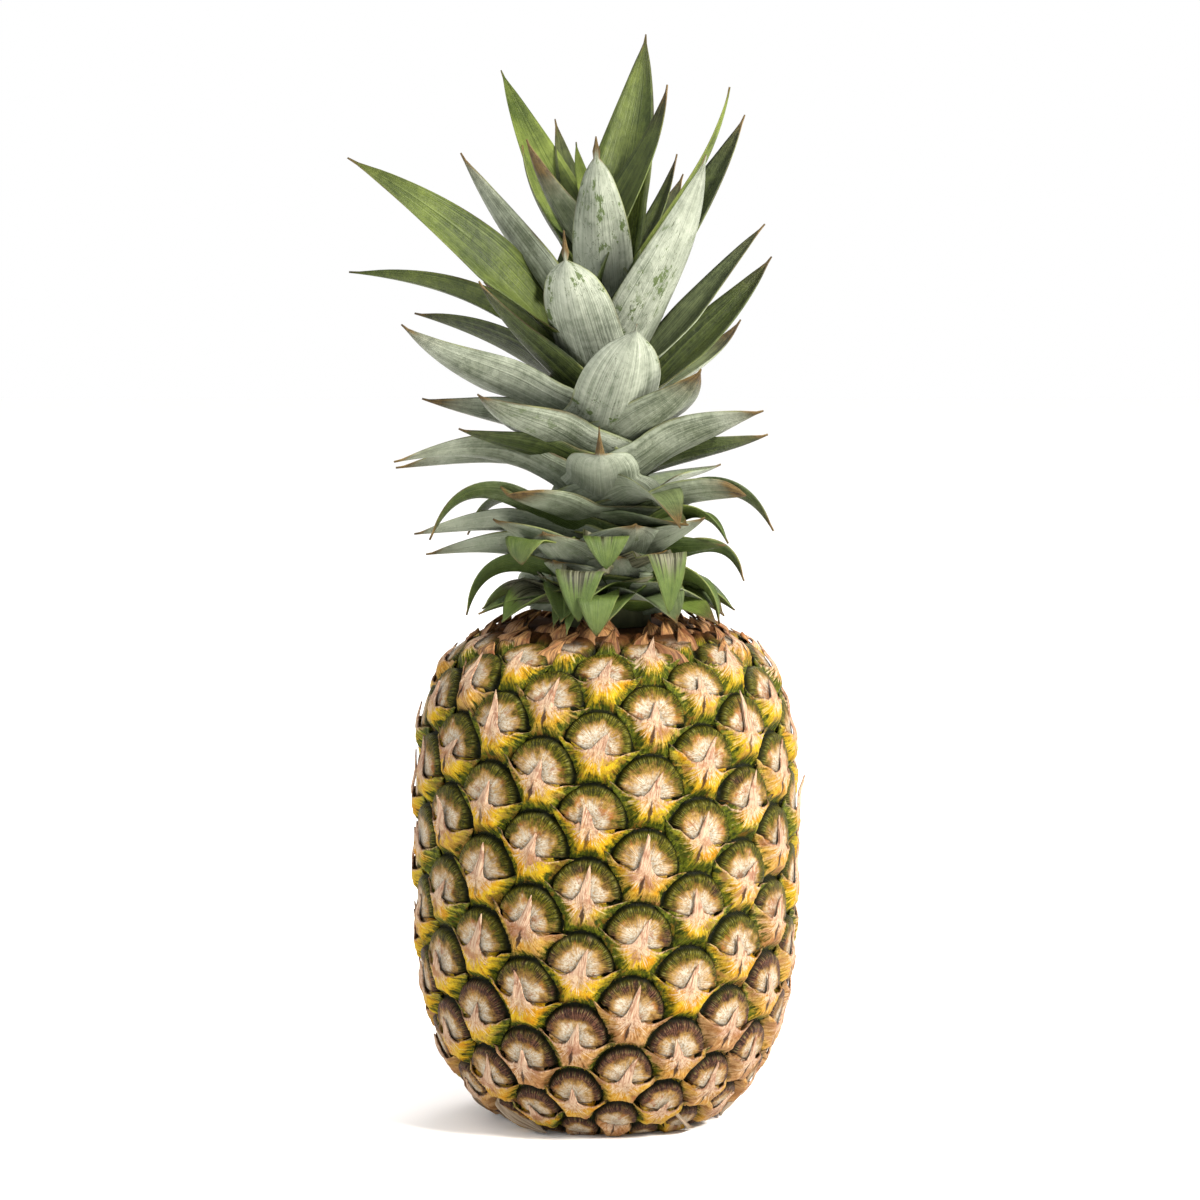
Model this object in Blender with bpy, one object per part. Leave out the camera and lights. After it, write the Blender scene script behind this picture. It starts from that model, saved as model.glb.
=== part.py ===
"""A whole fresh pineapple, standing on its base: the fruit, the cut stalk under it and the crown of leaves.

The origin is the centre of the flat spot that the fruit stands on. +Z is up and the front is towards -Y.
Azimuths are in degrees about the fruit's axis: 0 is the front, 90 is +X.
"""

import math
import random
from dataclasses import dataclass, replace

import bmesh
import bpy
import numpy as np
from mathutils import Matrix, Quaternion, Vector

MM = 0.001
GAP = 0.3 * MM

# The fruit's outline is two quarter superellipses that meet at its widest level.
FRUIT_RADIUS = 62.5 * MM
WIDEST_LEVEL = 85 * MM
LOWER_REACH = 90 * MM
UPPER_REACH = 82 * MM
LOWER_POWER = 2.8
UPPER_POWER = 4.0
SEAT_LEVEL = 166 * MM
SEAT_RADIUS = 25 * MM

# The fruitlets follow one spiral. Eight, thirteen and twenty-one places on, each has a neighbour.
DIVERGENCE = 137.23
FIRST_AZIMUTH = -6.2
START_LEVEL = 80.7 * MM
RISE = 1.15 * MM
SHRINK_POWER = 0.6
LEAST_SHRINK = 0.4
SHALLOW, STEEP, UPRIGHT = 8, 13, 21
LOWEST_FRUITLET = -88
HIGHEST_FRUITLET = 97
REST_RADIUS = 31 * MM

# The relief of one fruitlet, by steps out from its middle. Two steps reach the groove round it.
FACETS = 4
SPINE_STEPS = 0.42
RELIEF_STEPS = (0, SPINE_STEPS, 1, 2)
RELIEF_HEIGHTS = (2.6 * MM, 2.2 * MM, 1.0 * MM, -2.2 * MM)

# The papery spine on each fruitlet leans up over the eye. Its reach is in eye radii.
EYE_RADIUS = 11.3 * MM
SPINE_REACH = (0.95, 1.3)
SPINE_LIFT = (2.5 * MM, 5.5 * MM)
SPINE_LEAN = 0.3
SPINE_HALF_WIDTH = 0.25
SPINE_LEVEL = 12 * MM

# Dry strips of old bracts at the fruit's lower edge: azimuth, swing round the fruit and width.
STRANDS = (
    (-52, 22, 7),
    (-78, -14, 5),
    (28, 20, 6),
    (96, -18, 5),
    (150, 20, 7),
    (-138, -20, 6),
)
STRAND_STATIONS = (0, 0.35, 0.7, 1)
STRAND_LEVEL = 13 * MM
STRAND_TIP_LEVEL = 1.4 * MM
STRAND_CLEAR = 5 * MM
STRAND_SINK = 2.5 * MM
STRAND_THICKNESS = 0.9 * MM

STALK_RADIUS = 14 * MM
STALK_DEPTH = 12 * MM
STALK_SIDES = 24

# The crown's short stem, which the leaves grow from.
STEM_BASE_RADIUS = 15.5 * MM
STEM_TIP_RADIUS = 2.5 * MM
STEM_LENGTH = 122 * MM
STEM_SIDES = 14
LONG_STATIONS = (0, 0.18, 0.4, 0.64, 0.87, 1)
SHORT_STATIONS = (0, 0.26, 0.52, 0.78, 1)
SHORT_BELOW = 215
LEAF_MIDDLE = 1.5 * MM
LEAF_EDGE = 0.7 * MM
LEAF_GUTTER = 0.25
CLASP_SHARE = 0.6
WIDEST_SHARE = 0.25
ROOT_SINK = 7 * MM


@dataclass
class Leaf:
    """One crown leaf. Lengths are in millimetres and angles in degrees.

    root and tip are heights above the table, and reach is how far the tip is from the fruit's axis.
    lift is the leaf's slope where it leaves the stem, and end its slope at the tip.
    """

    azimuth: float
    root: float
    reach: float
    tip: float
    width: float
    lift: float = 55
    end: float = 30
    roll: float = 0
    veer: float = 0
    taper: float = 1.7

    @property
    def stations(self):
        """Where along it, from 0 to 1, its cross-sections stand."""
        return SHORT_STATIONS if self.tip < SHORT_BELOW else LONG_STATIONS


# The leaves that the photograph shows, from the fruit's shoulder up.
SHORT_LEAVES = [
    Leaf(6, 168.5, 30, 192, 28, lift=80, end=50, taper=2.6),
    Leaf(40, 169, 31, 193, 27, lift=80, end=50, taper=2.6),
    Leaf(-34, 168.5, 31, 190, 27, lift=80, end=50, taper=2.6),
    Leaf(-32, 173, 39, 200, 30, lift=60, end=50, taper=2.4),
    Leaf(14, 177, 40, 203, 30, lift=60, end=45, taper=2.4),
    Leaf(52, 179, 41, 204, 28, lift=55, end=40, taper=2.4),
    Leaf(-62, 179, 42, 203, 28, lift=55, end=40, taper=2.4),
    Leaf(-25, 168, 41, 169, 12, lift=30, end=-50),
    Leaf(-17, 170, 44, 167.2, 11, lift=30, end=-60),
    Leaf(50, 169, 47.5, 169.5, 20, lift=25, end=-25, roll=15),
    Leaf(-66, 170, 46, 171.5, 15, lift=20, end=-20),
    Leaf(-4, 174, 44.5, 167, 13, lift=35, end=-75, roll=-20),
    Leaf(60, 175, 43, 168.5, 18, lift=30, end=-80, roll=-20),
    Leaf(-80, 175, 47, 170, 18, lift=35, end=-75, roll=20),
    Leaf(-12, 178, 43, 171.5, 16, lift=45, end=-80, taper=1.3),
    Leaf(85, 180, 46, 181, 14, lift=25, end=-70, roll=-25),
    Leaf(-85, 182, 60, 190, 18, lift=30, end=-5, roll=30),
    Leaf(27, 181, 45, 174, 14, lift=45, end=-75, taper=1.4),
    Leaf(70, 184, 42, 194, 18, lift=35, end=15, roll=-25),
    Leaf(63, 186, 45, 195, 16, lift=40, end=-60, roll=-15),
    Leaf(-42, 187, 41, 189, 17, lift=40, end=-70, taper=2.4),
    Leaf(-83, 188, 64, 197, 19, lift=35, end=-5, roll=30),
    Leaf(-72, 190, 61, 196, 20, lift=35, end=-65, roll=15),
    Leaf(0, 191, 40, 188.5, 15, lift=50, end=-80, taper=1.4),
    Leaf(82, 193, 56, 198, 19, lift=35, end=-60, roll=-20),
    Leaf(-116, 193, 52, 194, 14, lift=35, end=-60),
    Leaf(42, 194, 40, 202, 24, lift=40, end=5),
    Leaf(-46, 195, 45, 212, 27, lift=40, end=25, taper=4),
    Leaf(70, 197, 49, 210.5, 21, lift=35, end=5, roll=-20, taper=4),
    Leaf(30, 198, 48, 202, 27, lift=50, end=-35, roll=-15),
]
MIDDLE_LEAVES = [
    Leaf(-72, 202, 73, 222, 20, lift=45, end=-10, roll=30),
    Leaf(-3, 202, 44, 235, 24, lift=50, end=75, taper=3),
    Leaf(-83, 206, 70, 219, 18, lift=45, end=-5, roll=30),
    Leaf(62, 208, 58, 239, 24, lift=45, end=20, roll=-25),
    Leaf(-63, 210, 54, 233, 22, lift=45, end=25, roll=15),
    Leaf(82, 211, 54, 230, 20, lift=35, end=25, roll=-25),
    Leaf(-48, 214, 56, 245, 28, lift=45, end=40, roll=15),
    Leaf(-88, 218, 61, 241.5, 22, lift=45, end=20, roll=30),
    Leaf(42, 218, 46, 253, 28, lift=50, end=60, roll=-10),
    Leaf(4, 220, 44, 268, 28, lift=50, end=78, veer=9, taper=3.6),
    Leaf(-70, 226, 71, 267, 24, lift=40, end=45, roll=30),
    Leaf(104, 228, 57, 288, 18, lift=50, end=58, roll=28, taper=2.2),
    Leaf(128, 230, 58, 266, 20, lift=40, end=55),
    Leaf(-62, 232, 47, 281, 22, lift=50, end=60),
    Leaf(-104, 234, 66, 269, 24, lift=40, end=15, roll=25),
    Leaf(96, 240, 53, 299, 14, lift=40, end=50, roll=35),
    Leaf(-19, 236, 42, 298, 25, lift=55, end=85, taper=3.6),
    Leaf(-96, 240, 86, 283, 19, lift=45, end=5, roll=30),
    Leaf(41, 240, 49, 322, 27, lift=60, end=75),
    Leaf(-91, 247, 48, 322.5, 21, lift=60, end=64, roll=35),
    Leaf(-79, 242, 86, 321, 24, lift=50, end=32, roll=-50),
]
INNER_LEAVES = [
    Leaf(112, 252, 50, 335, 20, lift=63, end=68, roll=25),
    Leaf(-8, 258, 24, 328, 20, lift=70, end=85, taper=2.4),
    Leaf(74, 262, 42, 344, 10, lift=65, end=80),
    Leaf(130, 264, 31, 322, 11, lift=60, end=75),
    Leaf(-112, 266, 30, 325, 14, lift=65, end=85),
    Leaf(-138, 268, 53, 350, 17, lift=60, end=60, roll=-25),
    Leaf(-75, 271, 27, 327, 19, lift=65, end=75, roll=20),
    Leaf(158, 274, 36, 362, 23, lift=70, end=80),
    Leaf(122, 278, 24, 345, 19, lift=75, end=85),
    Leaf(-150, 281, 20, 326, 10, lift=75, end=85),
]

# Broad short leaves that wrap the stem's foot, and the leaves behind, which the photograph hides. Both are
# spread by the golden section, and the second follow the size that leaves have at each root height.
FOOT_COUNT = 11
FOOT_LEAF = Leaf(0, 168.5, 43, 169.2, 26, lift=30, end=-35, taper=2)
HIDDEN_COUNT = 12
HIDDEN_SPREAD = 50
HIDDEN_ROOTS = (169, 260)
HIDDEN_CROWDING = 1.4
GOLDEN_PART = 0.618034
USUAL_ROOT = (168, 182, 200, 218, 238, 260)
USUAL_REACH = (42, 52, 60, 64, 60, 36)
USUAL_TIP = (174, 194, 220, 258, 300, 332)
USUAL_WIDTH = (15, 17, 19, 20, 20, 16)
USUAL_LIFT = (30, 35, 42, 48, 55, 65)
USUAL_END = (-60, -20, 10, 35, 55, 70)

spine_source = random.Random(11)
leaf_source = random.Random(12)


# Helpers for objects


def clear_scene():
    for item in list(bpy.data.objects):
        bpy.data.objects.remove(item, do_unlink=True)


def object_from(shape, name):
    """An object of this name, made from a bmesh."""
    mesh = bpy.data.meshes.new(name)
    shape.to_mesh(mesh)
    shape.free()
    item = bpy.data.objects.new(name, mesh)
    bpy.context.scene.collection.objects.link(item)
    return item


def make_object(name, vertices, faces):
    shape = bmesh.new()
    points = [shape.verts.new(v) for v in vertices]
    for face in faces:
        shape.faces.new([points[k] for k in face])
    bmesh.ops.recalc_face_normals(shape, faces=shape.faces)
    return object_from(shape, name)


def make_cone(name, sides, lower_radius, upper_radius, bottom, top):
    shape = bmesh.new()
    bmesh.ops.create_cone(
        shape,
        cap_ends=True,
        segments=sides,
        radius1=lower_radius,
        radius2=upper_radius,
        depth=top - bottom,
        matrix=Matrix.Translation((0, 0, (top + bottom) / 2)),
    )
    return object_from(shape, name)


def give_material(item, name, colour, roughness):
    material = bpy.data.materials.new(name)
    material.use_nodes = True
    shader = material.node_tree.nodes["Principled BSDF"]
    shader.inputs["Base Color"].default_value = (*colour, 1)
    shader.inputs["Roughness"].default_value = roughness
    shader.inputs["Metallic"].default_value = 0
    item.data.materials.clear()
    item.data.materials.append(material)


def apply_modifiers(item):
    graph = bpy.context.evaluated_depsgraph_get()
    made = bpy.data.meshes.new_from_object(item.evaluated_get(graph))
    item.modifiers.clear()
    item.data = made


def fuse(item, pieces):
    """Joins pieces to item in one union and removes them."""
    group = bpy.data.collections.new(item.name + "_pieces")
    bpy.context.scene.collection.children.link(group)
    for piece in pieces:
        bpy.context.scene.collection.objects.unlink(piece)
        group.objects.link(piece)
    union = item.modifiers.new("union", "BOOLEAN")
    union.operation = "UNION"
    union.operand_type = "COLLECTION"
    union.collection = group
    union.solver = "MANIFOLD"
    bpy.context.view_layer.update()
    apply_modifiers(item)
    for piece in pieces:
        bpy.data.objects.remove(piece, do_unlink=True)
    bpy.data.collections.remove(group)
    keep_outer_body(item)


def volume_of(faces):
    """Six times the signed volume inside these faces, fanned into triangles."""
    total = 0.0
    for face in faces:
        first, *others = [v.co for v in face.verts]
        for second, third in zip(others, others[1:]):
            total += first.dot(second.cross(third))
    return total


def keep_outer_body(item):
    """Drops sealed hollows and loose scraps, which leaves the largest closed body."""
    shape = bmesh.new()
    shape.from_mesh(item.data)
    unseen = set(shape.faces)
    bodies = []
    while unseen:
        start = unseen.pop()
        body, front = [start], [start]
        while front:
            for edge in front.pop().edges:
                for face in edge.link_faces:
                    if face in unseen:
                        unseen.discard(face)
                        body.append(face)
                        front.append(face)
        bodies.append(body)
    bodies.sort(key=volume_of)
    scraps = [face for body in bodies[:-1] for face in body]
    bmesh.ops.delete(shape, geom=scraps, context="FACES")
    bmesh.ops.triangulate(shape, faces=shape.faces)
    shape.to_mesh(item.data)
    shape.free()


# The fruit's surface


def outline():
    """Arc length, radius and level of points up the fruit's outline, from the table to its top."""
    steps = np.linspace(-math.pi / 2, math.pi / 2, 2401)
    lower = steps < 0
    power = np.where(lower, LOWER_POWER, UPPER_POWER)
    reach = np.where(lower, LOWER_REACH, UPPER_REACH)
    radius = FRUIT_RADIUS * np.abs(np.cos(steps)) ** (2 / power)
    level = WIDEST_LEVEL + reach * np.sign(steps) * np.abs(np.sin(steps)) ** (2 / power)
    length = np.concatenate([[0], np.cumsum(np.hypot(np.diff(radius), np.diff(level)))])
    return length, radius, level


ARC, RADIUS, LEVEL = outline()


def places_along(arc, radius):
    """The spiral's place at each point of the outline, counted in fruitlets from the start level."""
    middle = (radius[1:] + radius[:-1]) / 2
    rise = RISE * np.maximum(middle / FRUIT_RADIUS, LEAST_SHRINK) ** SHRINK_POWER
    place = np.concatenate([[0], np.cumsum(np.diff(arc) / rise)])
    return place - np.interp(START_LEVEL, LEVEL, place)


PLACE = places_along(ARC, RADIUS)


def shrink(place):
    """How small things are at a place, from 1 at the fruit's waist."""
    return max(np.interp(place, PLACE, RADIUS) / FRUIT_RADIUS, LEAST_SHRINK)


def skin_point(turn, place, height):
    """A point by its azimuth in degrees, its place along the spiral and its height above the outline."""
    radius = np.interp(place, PLACE, RADIUS)
    level = np.interp(place, PLACE, LEVEL)
    ahead, behind = place + 0.5, place - 0.5
    d_radius = np.interp(ahead, PLACE, RADIUS) - np.interp(behind, PLACE, RADIUS)
    d_level = np.interp(ahead, PLACE, LEVEL) - np.interp(behind, PLACE, LEVEL)
    size = math.hypot(d_radius, d_level)
    azimuth = math.radians(turn)
    radius += height * d_level / size
    level -= height * d_radius / size
    return Vector((radius * math.sin(azimuth), -radius * math.cos(azimuth), max(level, 0)))


def corner(number, skip):
    """The middle of the neighbour skip places on, turned the short way round from this fruitlet."""
    turn = (DIVERGENCE * skip + 180) % 360 - 180
    return FIRST_AZIMUTH + DIVERGENCE * number + turn, number + skip


def between(first, second, share):
    return tuple(a + (b - a) * share for a, b in zip(first, second))


def near_eye(number, across, up, height):
    """A point by one fruitlet's middle. across and up are in eye radii."""
    size = EYE_RADIUS * shrink(number)
    place = np.interp(np.interp(number, PLACE, ARC) + up * size, ARC, PLACE)
    turn = math.degrees(across * size / np.interp(number, PLACE, RADIUS))
    return skin_point(corner(number, 0)[0] + turn, place, height)


def spine_tip(number):
    across = spine_source.uniform(-SPINE_LEAN, SPINE_LEAN)
    up = spine_source.uniform(*SPINE_REACH)
    return near_eye(number, across, up, spine_source.uniform(*SPINE_LIFT) * shrink(number))


class Skin:
    """The net of triangles between each fruitlet's middle and those of its spiral neighbours."""

    def __init__(self):
        self.points = []
        self.index = {}
        self.faces = []
        for number in range(LOWEST_FRUITLET, HIGHEST_FRUITLET - UPRIGHT + 1):
            here, top = corner(number, 0), corner(number, UPRIGHT)
            self.split(here, corner(number, SHALLOW), top)
            self.split(here, top, corner(number, STEEP))

    def point(self, place, steps):
        """The index of a point, shared with the triangles that meet there."""
        key = (round(place[0] % 360, 6) % 360, round(place[1], 6))
        if key not in self.index:
            self.index[key] = len(self.points)
            height = float(np.interp(steps, RELIEF_STEPS, RELIEF_HEIGHTS))
            if steps == 0 and has_spine(place[1]):
                self.points.append(spine_tip(round(place[1])))
            else:
                self.points.append(skin_point(*place, height * shrink(place[1])))
        return self.index[key]

    def split(self, *corners):
        """Cuts a triangle into rows and adds its faces."""

        def at(i, j):
            first = between(corners[0], corners[1], i / FACETS)
            place = tuple(a + (c - o) * j / FACETS for a, c, o in zip(first, corners[2], corners[0]))
            return place, FACETS - max(i, j, FACETS - i - j)

        for i in range(FACETS):
            for j in range(FACETS - i):
                self.add(at(i, j), at(i + 1, j), at(i, j + 1))
                if i + j < FACETS - 1:
                    self.add(at(i + 1, j), at(i + 1, j + 1), at(i, j + 1))

    def add(self, *spots):
        """Adds one face. Where it meets a spine, the spine's own narrow side stands on it."""
        spots = sorted(spots, key=lambda spot: spot[1])
        middle, second, third = spots
        if middle[1] == 0 and has_spine(middle[0][1]):
            near = [(between(middle[0], spot[0], SPINE_STEPS), SPINE_STEPS) for spot in (second, third)]
            corners = [(middle, *near), (near[0], second, third), (near[0], third, near[1])]
        else:
            corners = [spots]
        self.faces += [tuple(self.point(*spot) for spot in face) for face in corners]


def has_spine(place):
    """Whether the net itself holds this fruitlet's spine, all round it."""
    lowest = max(np.interp(SPINE_LEVEL, LEVEL, PLACE), LOWEST_FRUITLET + UPRIGHT)
    return lowest <= place < HIGHEST_FRUITLET - UPRIGHT


def close_end(shape, centre, radius):
    """Closes the skin's open edge on this side with a flat round end."""
    ring = {}

    def inner(point):
        if point not in ring:
            flat = Vector((point.co.x, point.co.y, 0)).normalized() * radius
            ring[point] = shape.verts.new(centre + flat)
        return ring[point]

    edges = [e for e in shape.edges if e.is_boundary and abs(e.verts[0].co.z - centre.z) < WIDEST_LEVEL / 2]
    middle = shape.verts.new(centre)
    for edge in edges:
        first, second = edge.verts
        shape.faces.new((first, second, inner(second), inner(first)))
        shape.faces.new((inner(first), inner(second), middle))


def fruit_body():
    skin = Skin()
    shape = bmesh.new()
    points = [shape.verts.new(point) for point in skin.points]
    for face in skin.faces:
        shape.faces.new([points[k] for k in face])
    close_end(shape, Vector((0, 0, 0)), REST_RADIUS)
    close_end(shape, Vector((0, 0, SEAT_LEVEL)), SEAT_RADIUS)
    bmesh.ops.recalc_face_normals(shape, faces=shape.faces)
    return object_from(shape, "fruit")


# What stands out of the skin


def collar_spine(number):
    """A separate spine, for the crowded fruitlets under the crown."""
    sides = [(-SPINE_HALF_WIDTH, 2 * MM), (0, -2 * MM), (SPINE_HALF_WIDTH, 2 * MM)]
    points = [near_eye(number, across, -0.3, height) for across, height in sides]
    points.append(spine_tip(number))
    return make_object("spine", points, [(2, 1, 0), (0, 1, 3), (1, 2, 3), (2, 0, 3)])


def blade(name, stations, apex, gutter, middle, edge):
    """A closed channelled blade. Each station is its centre, its side and top directions and half its width."""
    vertices, faces = [], []
    for centre, side, top, half in stations:
        raised = gutter * half
        for across, up in (
            (-half, raised - edge / 2),
            (0, -middle / 2),
            (half, raised - edge / 2),
            (half, raised + edge / 2),
            (0, middle / 2),
            (-half, raised + edge / 2),
        ):
            vertices.append(centre + side * across + top * up)
    for row in range(len(stations) - 1):
        for k in range(6):
            a, b = row * 6 + k, row * 6 + (k + 1) % 6
            if k in (0, 3):
                faces += [(a, b, b + 6), (a, b + 6, a + 6)]
            else:
                faces += [(a, b, a + 6), (b, b + 6, a + 6)]
    last = (len(stations) - 1) * 6
    vertices.append(apex)
    faces += [(last + k, last + (k + 1) % 6, last + 6) for k in range(6)]
    faces += [(5, 4, 1, 0), (4, 3, 2, 1)]
    return make_object(name, vertices, faces)


def frame_along(points, tops):
    """Side and top directions at each point of a path, square to it."""
    found = []
    for k, top in enumerate(tops):
        along = points[min(k + 1, len(points) - 1)] - points[max(k - 1, 0)]
        along.normalize()
        side = top.cross(along).normalized()
        found.append((side, along.cross(side)))
    return found


def strand(azimuth, swing, width):
    """A dry strip of an old bract, which hangs off the fruit's lower edge and curls along the table."""
    points, tops = [], []
    for share in STRAND_STATIONS:
        level = STRAND_TIP_LEVEL + (STRAND_LEVEL - STRAND_TIP_LEVEL) * (1 - share) ** 1.6
        turn = math.radians(azimuth + swing * share)
        out = np.interp(level, LEVEL, RADIUS) + STRAND_CLEAR * share**0.7 - STRAND_SINK * (1 - share)
        points.append(Vector((out * math.sin(turn), -out * math.cos(turn), level)))
        tops.append(Vector((math.sin(turn), -math.cos(turn), 0.5)).normalized())
    stations = [
        (point, side, top, width * MM / 2 * (1 - share**2))
        for point, (side, top), share in zip(points, frame_along(points, tops), STRAND_STATIONS[:-1])
    ]
    return blade("strand", stations, points[-1], 0, STRAND_THICKNESS, STRAND_THICKNESS)


# The crown


def stem_radius(level):
    share = (level - SEAT_LEVEL - GAP) / STEM_LENGTH
    return STEM_BASE_RADIUS + (STEM_TIP_RADIUS - STEM_BASE_RADIUS) * share


def width_share(share, taper):
    """A leaf's width along its length: it clasps the stem, is widest near it and narrows to a point."""
    if share < WIDEST_SHARE:
        return CLASP_SHARE + (1 - CLASP_SHARE) * math.sin(math.pi / 2 * share / WIDEST_SHARE)
    return 1 - ((share - WIDEST_SHARE) / (1 - WIDEST_SHARE)) ** taper


def leaf_path(leaf):
    """The midrib, from inside the stem to the tip, as points and top directions."""
    lift, end = math.radians(leaf.lift), math.radians(leaf.end)
    root = Vector((stem_radius(leaf.root * MM) - ROOT_SINK, leaf.root * MM))
    tip = Vector((leaf.reach * MM, leaf.tip * MM))
    handle = (0.34 + 0.16 * abs(leaf.lift - leaf.end) / 90) * (tip - root).length
    first = root + handle * Vector((math.cos(lift), math.sin(lift)))
    second = tip - handle * Vector((math.cos(end), math.sin(end)))
    points, tops = [], []
    for share in leaf.stations:
        rest = 1 - share
        bend = (
            rest**3 * root
            + 3 * rest**2 * share * first
            + 3 * rest * share**2 * second
            + share**3 * tip
        )
        slope = rest**2 * (first - root) + 2 * rest * share * (second - first) + share**2 * (tip - second)
        slope.normalize()
        azimuth = math.radians(leaf.azimuth + leaf.veer * share)
        outward = Vector((math.sin(azimuth), -math.cos(azimuth), 0))
        points.append(outward * bend.x + Vector((0, 0, bend.y)))
        top = outward * -slope.y + Vector((0, 0, slope.x))
        along = outward * slope.x + Vector((0, 0, slope.y))
        tops.append(Quaternion(along, math.radians(leaf.roll * min(1, 2 * share))) @ top)
    return points, tops


def leaf_blade(leaf):
    points, tops = leaf_path(leaf)
    stations = [
        (point, side, top, leaf.width * MM / 2 * width_share(share, leaf.taper))
        for point, (side, top), share in zip(points, frame_along(points, tops), leaf.stations[:-1])
    ]
    return blade("leaf", stations, points[-1], LEAF_GUTTER, LEAF_MIDDLE, LEAF_EDGE)


def usual(root, values):
    return float(np.interp(root, USUAL_ROOT, values))


def foot_leaves():
    leaves = []
    for k in range(FOOT_COUNT):
        azimuth = 360 * GOLDEN_PART * k
        height = leaf_source.uniform(0, 3)
        leaves.append(
            replace(FOOT_LEAF, azimuth=azimuth, root=FOOT_LEAF.root + height, tip=FOOT_LEAF.tip + height)
        )
    return leaves


def hidden_leaves():
    """Leaves for the back, which the photograph hides, spread evenly by the golden section."""
    leaves = []
    for k in range(HIDDEN_COUNT):
        spread = (k * GOLDEN_PART) % 1 * 2 - 1
        rank = (k / (HIDDEN_COUNT - 1)) ** HIDDEN_CROWDING
        root = HIDDEN_ROOTS[0] + (HIDDEN_ROOTS[1] - HIDDEN_ROOTS[0]) * rank
        vary = leaf_source.uniform
        leaves.append(
            Leaf(
                180 + HIDDEN_SPREAD * spread,
                root,
                usual(root, USUAL_REACH) * vary(0.9, 1.05),
                usual(root, USUAL_TIP) + vary(-3, 3),
                usual(root, USUAL_WIDTH) * vary(0.9, 1.1),
                lift=usual(root, USUAL_LIFT),
                end=usual(root, USUAL_END) + vary(-10, 10),
                roll=vary(-15, 15),
            )
        )
    return leaves


# The three pieces


def make_fruit():
    fruit = fruit_body()
    collar = [collar_spine(n) for n in range(HIGHEST_FRUITLET - UPRIGHT, HIGHEST_FRUITLET - 4)]
    fuse(fruit, collar + [strand(*row) for row in STRANDS])
    hollow = make_cone(
        "stalk_hollow", STALK_SIDES, STALK_RADIUS + GAP, STALK_RADIUS + GAP, -GAP, STALK_DEPTH + GAP
    )
    hollow.hide_render = True
    hollow.display_type = "WIRE"
    cut = fruit.modifiers.new("stalk_hollow", "BOOLEAN")
    cut.operation = "DIFFERENCE"
    cut.object = hollow
    give_material(fruit, "rind", (0.42, 0.27, 0.08), 0.6)


def make_stalk():
    stalk = make_cone("stalk", STALK_SIDES, STALK_RADIUS, STALK_RADIUS, 0, STALK_DEPTH)
    give_material(stalk, "cut_stalk", (0.55, 0.42, 0.24), 0.8)


def make_crown():
    foot = SEAT_LEVEL + GAP
    crown = make_cone("crown", STEM_SIDES, STEM_BASE_RADIUS, STEM_TIP_RADIUS, foot, foot + STEM_LENGTH)
    leaves = SHORT_LEAVES + MIDDLE_LEAVES + INNER_LEAVES + foot_leaves() + hidden_leaves()
    fuse(crown, [leaf_blade(leaf) for leaf in leaves])
    give_material(crown, "leaf", (0.13, 0.24, 0.11), 0.5)


clear_scene()
make_fruit()
make_stalk()
make_crown()
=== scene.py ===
"""The look of a whole fresh pineapple: its rind of eyes and bracts, its crown of leaves and the studio.

Lengths are in metres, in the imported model's frame: +Z is up and the photograph looks along +Y. Azimuths are
in degrees about the fruit's axis: 0 is the front, 90 is +X.
"""

import math
import random
from dataclasses import dataclass, replace
from functools import partialmethod

import bpy
import numpy as np
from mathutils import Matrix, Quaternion, Vector


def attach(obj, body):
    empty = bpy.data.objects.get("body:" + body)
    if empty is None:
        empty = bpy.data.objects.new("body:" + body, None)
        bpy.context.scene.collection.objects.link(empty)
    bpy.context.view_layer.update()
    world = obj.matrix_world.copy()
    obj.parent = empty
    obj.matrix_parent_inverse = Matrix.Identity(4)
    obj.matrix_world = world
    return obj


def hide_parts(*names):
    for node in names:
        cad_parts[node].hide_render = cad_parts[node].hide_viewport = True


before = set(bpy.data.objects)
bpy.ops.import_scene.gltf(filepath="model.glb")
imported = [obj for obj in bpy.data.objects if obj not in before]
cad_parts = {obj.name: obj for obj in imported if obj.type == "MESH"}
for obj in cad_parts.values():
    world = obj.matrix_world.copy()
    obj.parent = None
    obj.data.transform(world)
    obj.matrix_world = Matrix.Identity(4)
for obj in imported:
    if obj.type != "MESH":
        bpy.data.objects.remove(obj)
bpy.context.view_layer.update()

MM = 0.001

# The fruit's outline and its spiral of fruitlets, as the solids have them.
FRUIT_RADIUS = 62.5 * MM
WIDEST_LEVEL = 85 * MM
LOWER_REACH = 90 * MM
UPPER_REACH = 82 * MM
LOWER_POWER = 2.8
UPPER_POWER = 4.0
OUTLINE_POINTS = 2401
SEAT_LEVEL = 166 * MM
SEAT_RINGS = (20 * MM, 12 * MM)
CROWDED_LEVELS = (161.5 * MM, 165.5 * MM)
TOP_LEVEL = 165.95 * MM
END_MARGIN = 2 * MM
STALK_RADIUS = 14 * MM
STALK_DEPTH = 12 * MM
GAP = 0.3 * MM
DIVERGENCE = 137.23
FIRST_AZIMUTH = -6.2
START_LEVEL = 80.7 * MM
RISE = 1.15 * MM
SHRINK_POWER = 0.6
LEAST_SHRINK = 0.4
NEIGHBOURS = (8, 13, 21, -8, -13, -21)
LOWEST_FRUITLET = -96
HIGHEST_FRUITLET = 104

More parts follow.
